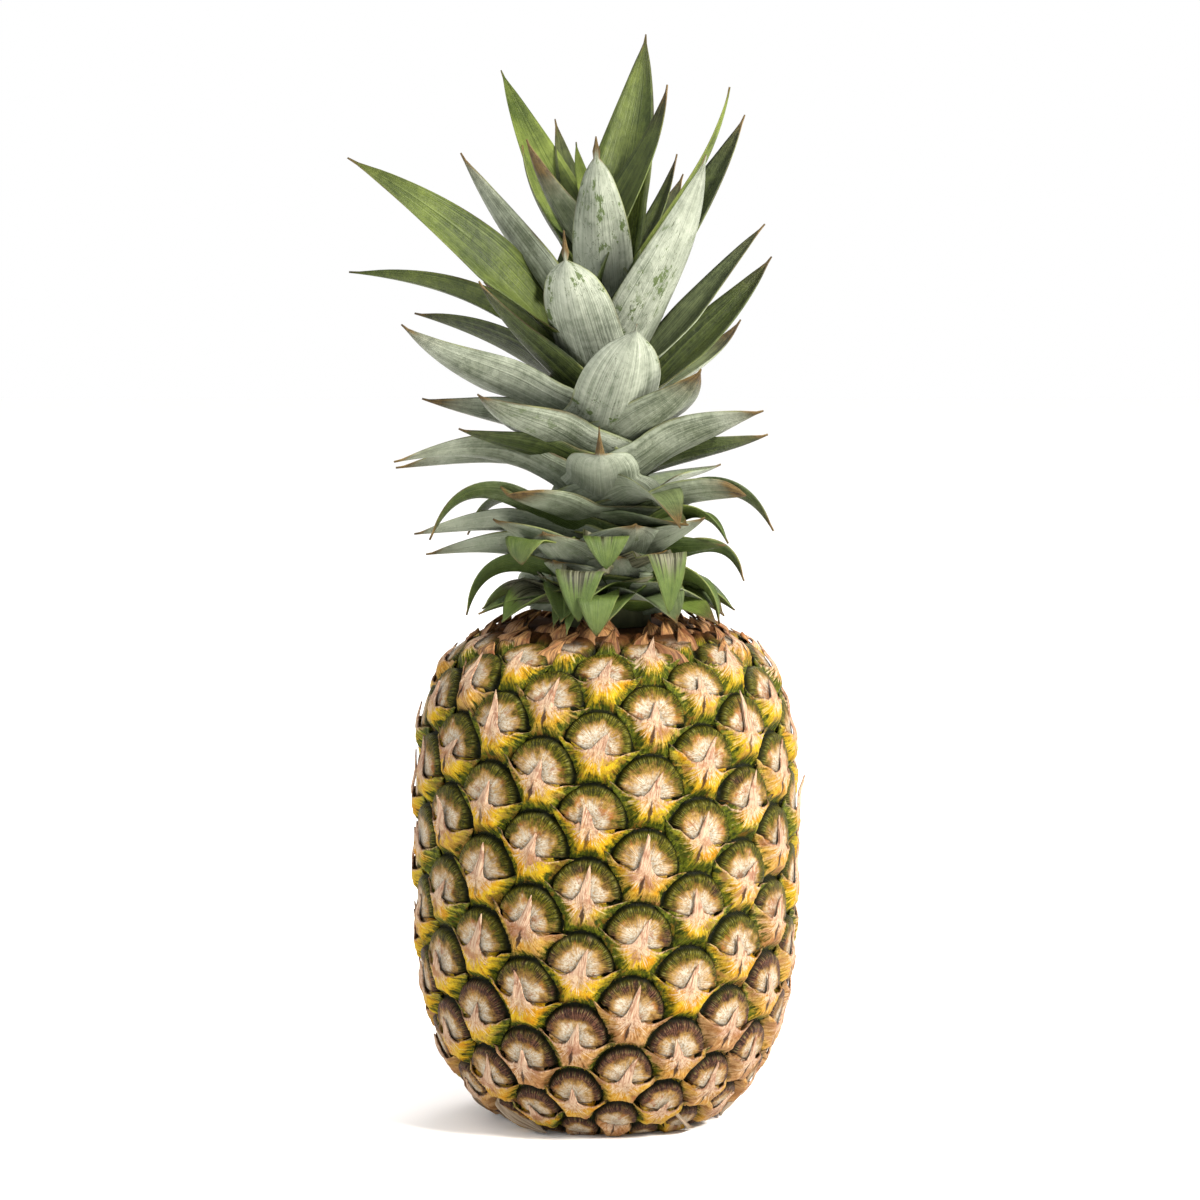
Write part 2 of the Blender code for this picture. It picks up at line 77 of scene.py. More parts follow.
# One fruitlet: a round eye, whose lower half a bract covers up to a line that sags in its middle. From here
# on, places on a fruitlet are in eye radii from the middle of its eye, turned by the fruitlet's tilt, and
# heights and depths on it are in millimetres.
EYE_RADIUS = 11.9 * MM
EYE_SHIFT = 0.4
TILT = (-19, -5)
BRIM_MIDDLE = -0.24
BRIM_RISE = 0.3
BRIM_SPREAD = 1.1
BRIM_END = 1.3
BRIM_POWER = 1.6
BODY_MIDDLE = -0.75
BODY_HEIGHT = 2.3
BODY_SWELL = (-0.04, 0.36)
LEDGE_HEIGHT = 0.4
LEDGE_RISE = 2.2
LEDGE_WIDTH = 0.35
GROOVE_DEPTH = 2.4
EYE_HEIGHT = 1.3
EYE_FALL = 0.7
RIM_DEPTH = 3.0
RIM = (0.86, 1.03)
FAR_AWAY = 9.0
OWNED_REACH = 2.4

# The fine net of the rind.
NET_COLUMNS = 440
NET_STEP = 1.0 * MM
NET_UNDER = 8
EDGE_FADE = 4 * MM

# The papery bract: half of its upper edge, from the tip of its spine out to its wing.
BRACT_EDGE = (
    (0, 0.78),
    (0.045, 0.6),
    (0.085, 0.36),
    (0.125, 0.12),
    (0.17, -0.05),
    (0.25, -0.15),
    (0.35, -0.2),
    (0.48, -0.2),
    (0.64, -0.16),
    (0.82, -0.08),
    (1.0, 0.01),
    (1.2, 0.1),
)
BRACT_COLUMNS = 29
BRACT_ROWS = 9
BRACT_BOTTOM = -0.95
BASE_REACH = 0.98
BASE_RISE = 0.72
BRACT_THICKNESS = 0.5
BRACT_LEVELS = (9 * MM, 162 * MM)
BRACT_LEAST = -0.8
BRACT_SINK = 0.9
BRACT_EMERGE = 1.25
WEDGE_SHARE = 0.9
EDGE_JAG = 0.018
SPINE_BED = 0.9
SPINE_WIDTH = 0.25
SPINE_START = (-0.15, 0.45)
SPINE_SLANT = (-0.32, 0.3)
SPINE_REACH = (0.5, 1.15)
SPINE_POWER = 1.3
KEEL_HEIGHT = 0.55
KEEL_WIDTH = 0.09
EDGE_SKEW = 0.09
EDGE_CURL = 0.35
LEAST_RISE = 0.1
MOST_RISE = 4.2
RISE_ODDS = (0.7, 3.2)
RISE_POWER = 1.4
FREE_PART = (-0.3, 0.8)

# The crown, as the solids have it.
STEM_BASE_RADIUS = 15.5 * MM
STEM_TIP_RADIUS = 2.5 * MM
STEM_LENGTH = 122 * MM
FOOT_SWELL = 0.35
LOW_SWELL = 0.6
LOW_ROOT = 222
WIDEST_SHARE = 0.35
ROUND_FROM = 0.82
THORN_WIDTH = 1.7 * MM
THORN_BEYOND = 0.12
LEAST_WIDTH = 0.2 * MM
ROOT_SINK = 7 * MM
LEAST_HANDLE = 0.34
BENT_HANDLE = 0.16
LEAF_MIDDLE = 1.5 * MM
LEAF_EDGE = 0.6 * MM
LEAF_GUTTER = 0.42
FOOT_GUTTER = 0.25
FOOT_SHARE = 0.3
FLAP_GUTTER = 0.08
GUTTER_POWER = 1.4
LEAF_RIPPLE = 0.035
TIP_THINNING = 0.55
LEAF_STATIONS = 34
LEAF_ACROSS = 9
FOLD_ARCH = 1.2 * MM
FOLD_SETBACK = 1.5 * MM
FLAP_POWER = 0.75
STEM_SIDES = 28
STEM_ROWS = 12
STEM_WAVE = 0.02

# How a leaf looks: its waxy bloom, how fresh and yellow its green is, and how brown its tip is.
LOOKS = {
    "pale": (0.95, 0.15, 0.1),
    "grey": (0.65, 0.1, 0.5),
    "dark": (0.25, 0.0, 0.5),
    "olive": (0.12, 0.35, 0.6),
    "green": (0.14, 0.45, 0.3),
    "fresh": (0.1, 0.95, 0.2),
    "yellow": (0.1, 1.3, 0.8),
    "striped": (0.2, 0.6, 0.1),
    "purple": (0.4, 0.1, 1.4),
    "burnt": (0.55, 0.2, 0.85),
}


@dataclass
class Leaf:
    """One crown leaf. Lengths are in millimetres and angles in degrees.

    root and tip are levels, and lift and end are how steeply it rises there. fold is how far its tip hangs
    below a sharp crease, thorn the share of its length that is a bare thorn and blunt the share of its width
    that is left where the thorn starts. look is a key of LOOKS.
    """

    azimuth: float
    root: float
    reach: float
    tip: float
    width: float
    lift: float = 55
    end: float = 30
    look: str = "grey"
    roll: float = 0
    veer: float = 0
    taper: float = 1.7
    fold: float = 0
    thorn: float = 0
    blunt: float = 0


SHORT_LEAVES = [
    Leaf(6, 168.5, 30, 192, 28, 80, 50, taper=2.6),
    Leaf(40, 169, 31, 193, 27, 80, 50, taper=2.6),
    Leaf(-34, 168.5, 31, 190, 27, 80, 50, taper=2.6),
    Leaf(-32, 173, 39, 200, 30, 60, 50, taper=2.4),
    Leaf(14, 177, 40, 203, 30, 60, 45, taper=2.4),
    Leaf(52, 179, 41, 204, 28, 55, 40, taper=2.4),
    Leaf(-62, 179, 42, 203, 28, 55, 40, taper=2.4),
    Leaf(-25, 168, 41, 169, 12, 30, -50, "green"),
    Leaf(-17, 170, 44, 167.2, 11, 30, -60, "green"),
    Leaf(50, 169, 47.5, 169.5, 20, 25, -25, "yellow", roll=15),
    Leaf(-66, 170, 46, 171.5, 15, 20, -20, "dark"),
    Leaf(-4, 174, 44.5, 167, 13, 35, -75, "green", roll=-20, fold=12),
    Leaf(60, 175, 43, 168.5, 18, 30, -80, "green", roll=-20),
    Leaf(-80, 175, 47, 170, 18, 35, -75, "green", roll=20),
    Leaf(-12, 178, 43, 171.5, 16, 45, -80, "striped", taper=1.3, fold=16),
    Leaf(85, 180, 46, 181, 14, 25, -70, "dark", roll=-25),
    Leaf(-85, 182, 60, 190, 18, 30, -5, roll=30),
    Leaf(27, 181, 45, 174, 14, 45, -75, "striped", taper=1.4, fold=19),
    Leaf(70, 184, 42, 194, 18, 35, 15, "dark", roll=-25),
    Leaf(63, 186, 45, 195, 16, 40, -60, "green", roll=-15),
    Leaf(-42, 187, 41, 189, 17, 40, -70, "green", taper=2.4, fold=8),
    Leaf(-83, 188, 64, 197, 19, 35, -5, roll=30),
    Leaf(-72, 190, 61, 196, 20, 35, -65, "dark", roll=15),
    Leaf(0, 191, 40, 188.5, 15, 50, -80, "striped", taper=1.4, fold=10),
    Leaf(82, 193, 56, 198, 19, 35, -60, "dark", roll=-20),
    Leaf(-116, 193, 52, 194, 14, 35, -60, "dark"),
    Leaf(42, 194, 40, 202, 24, 40, 5, "burnt"),
    Leaf(-46, 195, 45, 212, 27, 40, 25, "burnt", taper=4, blunt=0.4),
    Leaf(70, 197, 49, 210.5, 21, 35, 5, "burnt", roll=-20, taper=4, blunt=0.4),
    Leaf(30, 198, 48, 202, 27, 50, -35, "burnt", roll=-15),
]
MIDDLE_LEAVES = [
    Leaf(-72, 202, 73, 222, 20, 45, -10, roll=30),
    Leaf(-3, 202, 44, 235, 24, 50, 75, "pale", taper=3, thorn=0.22, blunt=0.6),
    Leaf(-83, 206, 70, 219, 18, 45, -5, roll=30),
    Leaf(62, 208, 58, 239, 24, 45, 20, roll=-25),
    Leaf(-63, 210, 54, 233, 22, 45, 25, "dark", roll=15),
    Leaf(82, 211, 54, 230, 20, 35, 25, "dark", roll=-25),
    Leaf(-48, 214, 56, 245, 28, 45, 40, roll=15),
    Leaf(-88, 218, 61, 241.5, 22, 45, 20, "burnt", roll=30),
    Leaf(42, 218, 46, 253, 28, 50, 60, "burnt", roll=-10),
    Leaf(4, 220, 44, 268, 28, 50, 78, "pale", veer=9, taper=3.6, thorn=0.03, blunt=0.15),
    Leaf(-70, 226, 71, 267, 24, 40, 45, roll=30),
    Leaf(104, 228, 57, 288, 18, 50, 58, "dark", roll=28, taper=2.2),
    Leaf(128, 230, 58, 266, 20, 40, 55, "burnt"),
    Leaf(-62, 232, 47, 281, 22, 50, 60, "dark"),
    Leaf(-104, 234, 66, 269, 24, 40, 15, "dark", roll=25),
    Leaf(96, 240, 53, 299, 14, 40, 50, roll=35),
    Leaf(-19, 236, 42, 298, 25, 55, 85, "pale", taper=3.6, thorn=0.12, blunt=0.3),
    Leaf(-96, 240, 86, 283, 19, 45, 5, "green", roll=30),
    Leaf(41, 240, 49, 322, 27, 60, 75, "pale"),
    Leaf(-91, 247, 48, 322.5, 21, 60, 64, roll=35),
    Leaf(-79, 242, 86, 321, 24, 50, 32, "green", roll=-50),
]
INNER_LEAVES = [
    Leaf(112, 252, 50, 335, 20, 63, 68, "dark", roll=25),
    Leaf(-8, 258, 24, 328, 20, 70, 85, "pale", taper=2.4, thorn=0.08, blunt=0.2),
    Leaf(74, 262, 42, 344, 10, 65, 80, "fresh"),
    Leaf(130, 264, 31, 322, 11, 60, 75, "olive"),
    Leaf(-112, 266, 30, 325, 14, 65, 85, "fresh"),
    Leaf(-138, 268, 53, 350, 17, 60, 60, "fresh", roll=-25),
    Leaf(-75, 271, 27, 327, 19, 65, 75, "purple", roll=20),
    Leaf(158, 274, 36, 362, 23, 70, 80, "green"),
    Leaf(122, 278, 24, 345, 19, 75, 85, "olive"),
    Leaf(-150, 281, 20, 326, 10, 75, 85, "fresh"),
]
FOOT_COUNT = 11
FOOT_LEAF = Leaf(0, 168.5, 43, 169.2, 26, 30, -35, "dark", taper=2)
HIDDEN_COUNT = 12
HIDDEN_SPREAD = 50
HIDDEN_ROOTS = (169, 260)
HIDDEN_CROWDING = 1.4
GOLDEN_PART = 0.618034

# What is usual for a leaf by the level of its root: its reach, tip, width, lift and end.
USUAL = {
    168: (42, 174, 15, 30, -60),
    182: (52, 194, 17, 35, -20),
    200: (60, 220, 19, 42, 10),
    218: (64, 258, 20, 48, 35),
    238: (60, 300, 20, 55, 55),
    260: (36, 332, 16, 65, 70),
}

# Dry strips of old bracts at the fruit's lower edge: azimuth, swing round the fruit and width in mm.
STRANDS = (
    (-52, 22, 7),
    (-78, -14, 5),
    (28, 20, 6),
    (96, -18, 5),
    (150, 20, 7),
    (-138, -20, 6),
)
STRAND_LEVEL = 13 * MM
STRAND_TIP_LEVEL = 1.4 * MM
STRAND_CLEAR = 5 * MM
STRAND_SINK = 2.5 * MM
STRAND_THICKNESS = 0.7 * MM
STRAND_LEAST = 0.15 * MM
STRAND_WAVE = 0.5 * MM
STRAND_LEAN = (-0.45, 0.9)
STRAND_UNDER = (1.0, 0.4)
STRAND_LOWEST = (0.9 * MM, 0.1 * MM)
STRAND_STATIONS = 22
STRAND_ACROSS = 5

# The papery collar under the crown: rings of flakes by level, count and the length, width and lift off the
# rind in millimetres.
COLLAR_RINGS = (
    (158.5 * MM, 9, 9, 11, 1.2),
    (162.0 * MM, 17, 10, 11, 2.0),
    (164.5 * MM, 17, 9, 10, 2.6),
    (165.6 * MM, 15, 9, 11, 3.4),
)
COLLAR_TWIST = 37
COLLAR_SINK = 1.2
COLLAR_THICKNESS = 0.5
COLLAR_ALONG = 9
COLLAR_ACROSS = 7

# Colours are written as they show in the studio's light. The pigment itself is darker.
PIGMENT = 0.5

# The photograph's view and the studio.
VIEW_ELEVATION = 6
VIEW_DISTANCE = 1.5
VIEW_TARGET = Vector((-2 * MM, 0, 174.2 * MM))
LENS = 135
SENSOR = 36
FLOOR_SIZE = 8
FLOOR_COLOUR = (0.99, 0.97, 0.955)
FLOOR_ROUGHNESS = 0.8

# The lamps by name: azimuth, elevation, distance, size, watts and colour.
LAMPS = {
    "key": (50, 34, 1.6, 0.4, 70, (1, 0.95, 0.88)),
    "fill": (-65, 15, 1.8, 0.8, 11, (1, 1, 1)),
    "back": (165, 40, 1.8, 0.8, 14, (1, 1, 1)),
}


# Helpers


def smoothstep(value, low, high):
    share = np.clip((value - low) / (high - low), 0, 1)
    return share * share * (3 - 2 * share)


def add_object(name, vertices, faces):
    mesh = bpy.data.meshes.new(name)
    mesh.from_pydata(vertices, [], faces)
    mesh.update()
    mesh.shade_smooth()
    item = bpy.data.objects.new(name, mesh)
    bpy.context.scene.collection.objects.link(item)
    return item


def note(*values):
    """Three numbers for each point, from arrays or single numbers."""
    return np.stack(np.broadcast_arrays(*values), -1)


def around(azimuth, radius, level):
    """Points at an azimuth in radians, this far from the axis and this high, as arrays."""
    return note(radius * np.sin(azimuth), -radius * np.cos(azimuth), level)


def store(item, name, values, domain="POINT"):
    """Keeps three numbers for each point, or each face corner, for the materials to read."""
    kept = item.data.attributes.new(name, "FLOAT_VECTOR", domain)
    kept.data.foreach_set("vector", np.asarray(values, dtype=np.float32).ravel())


def finish_piece(item, node, material):
    item.data.materials.append(material)
    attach(item, "root")
    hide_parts(node)


def tube_faces(rows, columns, start=0):
    """A closed tube over rings of points: quads between the rings, then the first ring and the last."""
    here = np.arange(columns)
    after = (here + 1) % columns
    low = start + np.arange(rows - 1)[:, None] * columns
    high = low + columns
    quads = np.stack([low + here, low + after, high + after, high + here], -1).reshape(-1, 4).tolist()
    first = list(range(start, start + columns))
    last = [point + (rows - 1) * columns for point in first]
    return [*quads, first[::-1], last]


# Materials are written as formulas over these fields


class Field:
    """A number that a shader works out at each point."""

    def __init__(self, paint, socket):
        self.paint = paint
        self.socket = socket

    def maths(self, operation, *others):
        node = self.paint.node("ShaderNodeMath", operation=operation)
        for value, socket in zip((self, *others), node.inputs):
            self.paint.join(value, socket)
        return Field(self.paint, node.outputs[0])

    __add__ = partialmethod(maths, "ADD")
    __sub__ = partialmethod(maths, "SUBTRACT")
    __mul__ = partialmethod(maths, "MULTIPLY")
    __truediv__ = partialmethod(maths, "DIVIDE")
    __pow__ = partialmethod(maths, "POWER")
    most = partialmethod(maths, "MAXIMUM")
    least = partialmethod(maths, "MINIMUM")
    __abs__ = partialmethod(maths, "ABSOLUTE")

    def ramp(self, low, high):
        """0 below low and 1 above high, or the other way round where low is the larger."""
        node = self.paint.node("ShaderNodeMapRange", interpolation_type="SMOOTHSTEP")
        for value, socket in zip((self, low, high), node.inputs):
            self.paint.join(value, socket)
        return Field(self.paint, node.outputs[0])


class Paint:
    """A material and short names for its nodes."""

    def __init__(self, name):
        self.material = bpy.data.materials.new(name)
        self.material.use_nodes = True
        self.tree = self.material.node_tree
        self.shader = self.tree.nodes["Principled BSDF"]

    def node(self, kind, **settings):
        made = self.tree.nodes.new(kind)
        for name, value in settings.items():
            setattr(made, name, value)
        return made

    def join(self, value, socket):
        """Links a socket to a field or another socket, or sets it to a number or colour."""
        if isinstance(value, Field):
            value = value.socket
        if isinstance(value, bpy.types.NodeSocket):
            self.tree.links.new(value, socket)
        elif isinstance(value, tuple) and socket.type == "RGBA":
            socket.default_value = (*(part * PIGMENT for part in value), 1)
        else:
            socket.default_value = value

    def split(self, vector):
        node = self.node("ShaderNodeSeparateXYZ")
        self.join(vector, node.inputs[0])
        return [Field(self, output) for output in node.outputs]

    def attribute(self, name):
        """The three numbers kept under this name."""
        return self.split(self.node("ShaderNodeAttribute", attribute_name=name).outputs["Vector"])

    def place(self):
        """The point's own coordinates in metres."""
        return self.split(self.node("ShaderNodeTexCoord").outputs["Object"])

    def noise(self, spot, detail, roughness=0.5):
        """Smooth noise round 0.5 at a spot of three numbers."""
        combined = self.node("ShaderNodeCombineXYZ")
        for value, socket in zip(spot, combined.inputs):
            self.join(value, socket)
        node = self.node("ShaderNodeTexNoise")
        settings = {"Vector": combined.outputs[0], "Scale": 1.0, "Detail": detail, "Roughness": roughness}
        for name, value in settings.items():
            self.join(value, node.inputs[name])
        return Field(self, node.outputs[0])

    def mix(self, first, second, share):
        """A colour between two others."""
        node = self.node("ShaderNodeMix", data_type="RGBA")
        self.join(share, node.inputs[0])
        self.join(first, node.inputs[6])
        self.join(second, node.inputs[7])
        return node.outputs[2]

    def layers(self, colour, *layers):
        """A colour under layers of others, each with its share."""
        for layer, share in layers:
            colour = self.mix(colour, layer, share)
        return colour

    def finish(self, colour, roughness, relief, depth, specular=0.2, contrast=1.0):
        """Joins the shader. relief is from 0 to 1 and stands depth metres high."""
        bump = self.node("ShaderNodeBump")
        gamma = self.node("ShaderNodeGamma")
        inputs = self.shader.inputs
        for value, socket in (
            (1.0, bump.inputs["Strength"]),
            (depth, bump.inputs["Distance"]),
            (relief, bump.inputs["Height"]),
            (contrast, gamma.inputs["Gamma"]),
            (colour, gamma.inputs["Color"]),
            (bump.outputs[0], inputs["Normal"]),
            (gamma.outputs[0], inputs["Base Color"]),
            (roughness, inputs["Roughness"]),
        ):
            self.join(value, socket)
        inputs["Specular IOR Level"].default_value = specular
        return self.material


# The fruit's surface


def outline():
    """Arc length, radius and level of points up the fruit's outline."""
    steps = np.linspace(-math.pi / 2, math.pi / 2, OUTLINE_POINTS)
    lower = steps < 0
    power = np.where(lower, LOWER_POWER, UPPER_POWER)
    reach = np.where(lower, LOWER_REACH, UPPER_REACH)
    radius = FRUIT_RADIUS * np.abs(np.cos(steps)) ** (2 / power)
    level = WIDEST_LEVEL + reach * np.sign(steps) * np.abs(np.sin(steps)) ** (2 / power)
    length = np.concatenate([[0], np.cumsum(np.hypot(np.diff(radius), np.diff(level)))])
    return length, radius, level


ARC, RADIUS, LEVEL = outline()


def places_along():
    """The spiral's place at each point of the outline, counted in fruitlets from the start level."""
    middle = (RADIUS[1:] + RADIUS[:-1]) / 2
    rise = RISE * np.maximum(middle / FRUIT_RADIUS, LEAST_SHRINK) ** SHRINK_POWER
    place = np.concatenate([[0], np.cumsum(np.diff(ARC) / rise)])
    return place - np.interp(START_LEVEL, LEVEL, place)


PLACE = places_along()


def radius_at(arc):
    return np.interp(arc, ARC, RADIUS)


def skin_points(turn, arc, height):
    """Points by their azimuth, their place along the outline and their height above it, as arrays."""
    reach = 0.6 * MM
    d_radius = radius_at(arc + reach) - radius_at(arc - reach)
    d_level = np.interp(arc + reach, ARC, LEVEL) - np.interp(arc - reach, ARC, LEVEL)
    size = np.hypot(d_radius, d_level)
    radius = radius_at(arc) + height * d_level / size
    level = np.interp(arc, ARC, LEVEL) - height * d_radius / size
    return around(np.radians(turn), radius, np.maximum(level, 0))


class Fruitlets:
    """Where every eye is, how large it is and what is its own about it."""

    def __init__(self):
        draws = np.random.default_rng(5)
        self.number = np.arange(LOWEST_FRUITLET, HIGHEST_FRUITLET + 1)
        count = len(self.number)
        self.turn = FIRST_AZIMUTH + DIVERGENCE * self.number
        middle = np.interp(self.number, PLACE, ARC)
        shrink = np.maximum(radius_at(middle) / FRUIT_RADIUS, LEAST_SHRINK)
        self.wide = EYE_RADIUS * shrink
        self.tall = EYE_RADIUS * shrink**SHRINK_POWER
        self.arc = middle + EYE_SHIFT * self.tall
        self.tilt = np.radians(draws.uniform(*TILT, count))
        self.seed = draws.uniform(0, 1, count)
        self.tint = draws.uniform(0, 1, count)
        self.slant = draws.uniform(*SPINE_SLANT, count)
        self.reach = draws.uniform(*SPINE_REACH, count)
        self.rise = LEAST_RISE + MOST_RISE * draws.beta(*RISE_ODDS, count)
        self.skew = draws.uniform(-EDGE_SKEW, EDGE_SKEW, count)
        self.curl = EDGE_CURL * draws.uniform(-1.0, 1.0, count)

    def coordinates(self, turn, arc, which):
        """Where points are on the fruitlets of these indexes."""
        across = np.radians((turn - self.turn[which] + 180) % 360 - 180) * radius_at(arc) / self.wide[which]
        up = (arc - self.arc[which]) / self.tall[which]
        cos, sin = np.cos(self.tilt[which]), np.sin(self.tilt[which])
        return across * cos + up * sin, up * cos - across * sin

    def spots(self, across, up, which):
        """The other way: the azimuth and outline place of points on these fruitlets."""
        cos, sin = np.cos(self.tilt[which]), np.sin(self.tilt[which])
        arc = self.arc[which] + (across * sin + up * cos) * self.tall[which]
        turn = self.turn[which] + np.degrees((across * cos - up * sin) * self.wide[which] / radius_at(arc))
        return turn, arc

    def clearance(self, turn, arc, which):
        """How far points are outside the eyes round the fruitlet that they belong to."""
        nearest = np.full(np.shape(turn), FAR_AWAY)
        for skip in NEIGHBOURS:
            other = np.clip(which + skip, 0, len(self.number) - 1)
            across, up = self.coordinates(turn, arc, other)
            away = np.where(other == which + skip, np.hypot(across, up) - 1, FAR_AWAY)
            nearest = np.minimum(nearest, away)
        return nearest

    def owners(self, turn, arcs):
        """The fruitlet that each point of a net belongs to. turn has the net's shape, arcs its rows'."""
        best = np.full(turn.shape, np.inf)
        owner = np.zeros(turn.shape, dtype=int)
        for k in range(len(self.number)):
            rows = np.flatnonzero(np.abs(arcs - self.arc[k]) < OWNED_REACH * self.tall[k])
            if not len(rows):
                continue
            block = slice(rows[0], rows[-1] + 1)
            across, up = self.coordinates(turn[block], arcs[block, None], k)
            away = np.hypot(across, up)
            in_eye = (away < 1) & (up > brim(across))
            score = np.where(in_eye, away - 10, np.hypot(across, up - BODY_MIDDLE))
            better = score < best[block]
            best[block] = np.where(better, score, best[block])
            owner[block] = np.where(better, k, owner[block])
        return owner


def brim(across):
    """How high the bract reaches over its eye."""
    return BRIM_MIDDLE + BRIM_RISE * np.minimum(np.abs(across) / BRIM_SPREAD, BRIM_END) ** BRIM_POWER


def body_height(clear):
    """A bract's body in millimetres: it swells up out of the groove round the eyes beside it."""
    return -GROOVE_DEPTH + (GROOVE_DEPTH + BODY_HEIGHT) * smoothstep(clear, *BODY_SWELL)


def rind_height(across, up, clear):
    """The rind's height in millimetres: an eye's low dome in a groove, or a bract's swollen body."""
    away = np.hypot(across, up)
    eye = EYE_HEIGHT - EYE_FALL * away**2 - RIM_DEPTH * smoothstep(away, *RIM)
    below = brim(across) - up
    body = np.minimum(body_height(clear), LEDGE_HEIGHT + LEDGE_RISE * smoothstep(below, 0, LEDGE_WIDTH))
    return np.where((away < 1) & (below < 0), eye, body)


def make_rind(fruitlets):
    """The fruit's whole skin as one closed net, with what its material needs at every face corner."""
    low = np.interp(0, LEVEL, ARC)
    high = np.interp(TOP_LEVEL, LEVEL, ARC)
    rows = int((high - low) / NET_STEP)
    arcs = np.linspace(low, high, rows)
    turn = np.broadcast_to(np.arange(NET_COLUMNS) * 360 / NET_COLUMNS, (rows, NET_COLUMNS))
    owner = fruitlets.owners(turn, arcs)
    arc = np.broadcast_to(arcs[:, None], turn.shape)
    across, up = fruitlets.coordinates(turn, arc, owner)
    clear = fruitlets.clearance(turn, arc, owner)
    fade = smoothstep(arc - low, 0, EDGE_FADE) * smoothstep(high - arc, 0, EDGE_FADE)
    height = rind_height(across, up, clear) * fade * fruitlets.tall[owner] / EYE_RADIUS * MM
    side = skin_points(turn, arc, height)

    azimuth = np.radians(turn[0])
    hollow = STALK_RADIUS + GAP
    rings = [(hollow, STALK_DEPTH + GAP), (hollow, STALK_DEPTH / 2)]
    rings += [(radius, 0) for radius in np.linspace(hollow, radius_at(low) - END_MARGIN, NET_UNDER)]
    under = [around(azimuth, *ring) for ring in rings]
    over = [around(azimuth, radius, SEAT_LEVEL) for radius in (radius_at(high) - END_MARGIN, *SEAT_RINGS)]
    points = np.concatenate([under, side, over])
    item = add_object("rind", points.reshape(-1, 3), tube_faces(len(points), NET_COLUMNS))

    row, column = np.divmod(np.arange((rows - 1) * NET_COLUMNS), NET_COLUMNS)
    step = 360 / NET_COLUMNS
    which = fruitlets.owners((turn + step / 2)[:-1], (arcs[1:] + arcs[:-1]) / 2).reshape(-1, 1)
    corner_turn = (column[:, None] + np.array([0, 1, 1, 0])) * step
    corner_arc = arcs[row[:, None] + np.array([0, 0, 1, 1])]
    across, up = fruitlets.coordinates(corner_turn, corner_arc, which)
    clear = fruitlets.clearance(corner_turn, corner_arc, which)
    for name, values in (
        ("eye", note(across, up, fruitlets.seed[which])),
        ("near", note(clear, 1, fruitlets.tint[which])),
    ):
        corners = np.zeros((4 * (len(points) - 1) * NET_COLUMNS + 2 * NET_COLUMNS, 3))
        start = 4 * len(under) * NET_COLUMNS
        corners[start : start + values.size // 3] = values.reshape(-1, 3)
        store(item, name, corners, "CORNER")
    return item


# What stands out of the rind


def closed_sheets(name, top, bottom):
    """Closed sheets from their upper and lower faces. Both arrays go sheet, row, column, coordinate."""
    sheets, rows, columns = top.shape[:3]
    points = np.stack([top, bottom], 1).reshape(-1, 3)
    one = np.arange(rows * columns).reshape(rows, columns)
    upper = np.stack([one[:-1, :-1], one[:-1, 1:], one[1:, 1:], one[1:, :-1]], -1).reshape(-1, 4)
    under = upper[:, ::-1] + rows * columns
    rim = np.concatenate([one[0, :-1], one[:-1, -1], one[-1, :0:-1], one[:0:-1, 0]])
    after = np.roll(rim, -1)
    sides = np.stack([after, rim, rim + rows * columns, after + rows * columns], -1)
    faces = np.concatenate([upper, under, sides])
    starts = np.arange(sheets)[:, None, None] * 2 * rows * columns
    return add_object(name, points, (faces + starts).reshape(-1, 4).tolist())


def both_faces(values):
    """Per-point values of sheets, repeated for their lower faces."""
    return np.stack([values, values], 1).reshape(-1, 3)


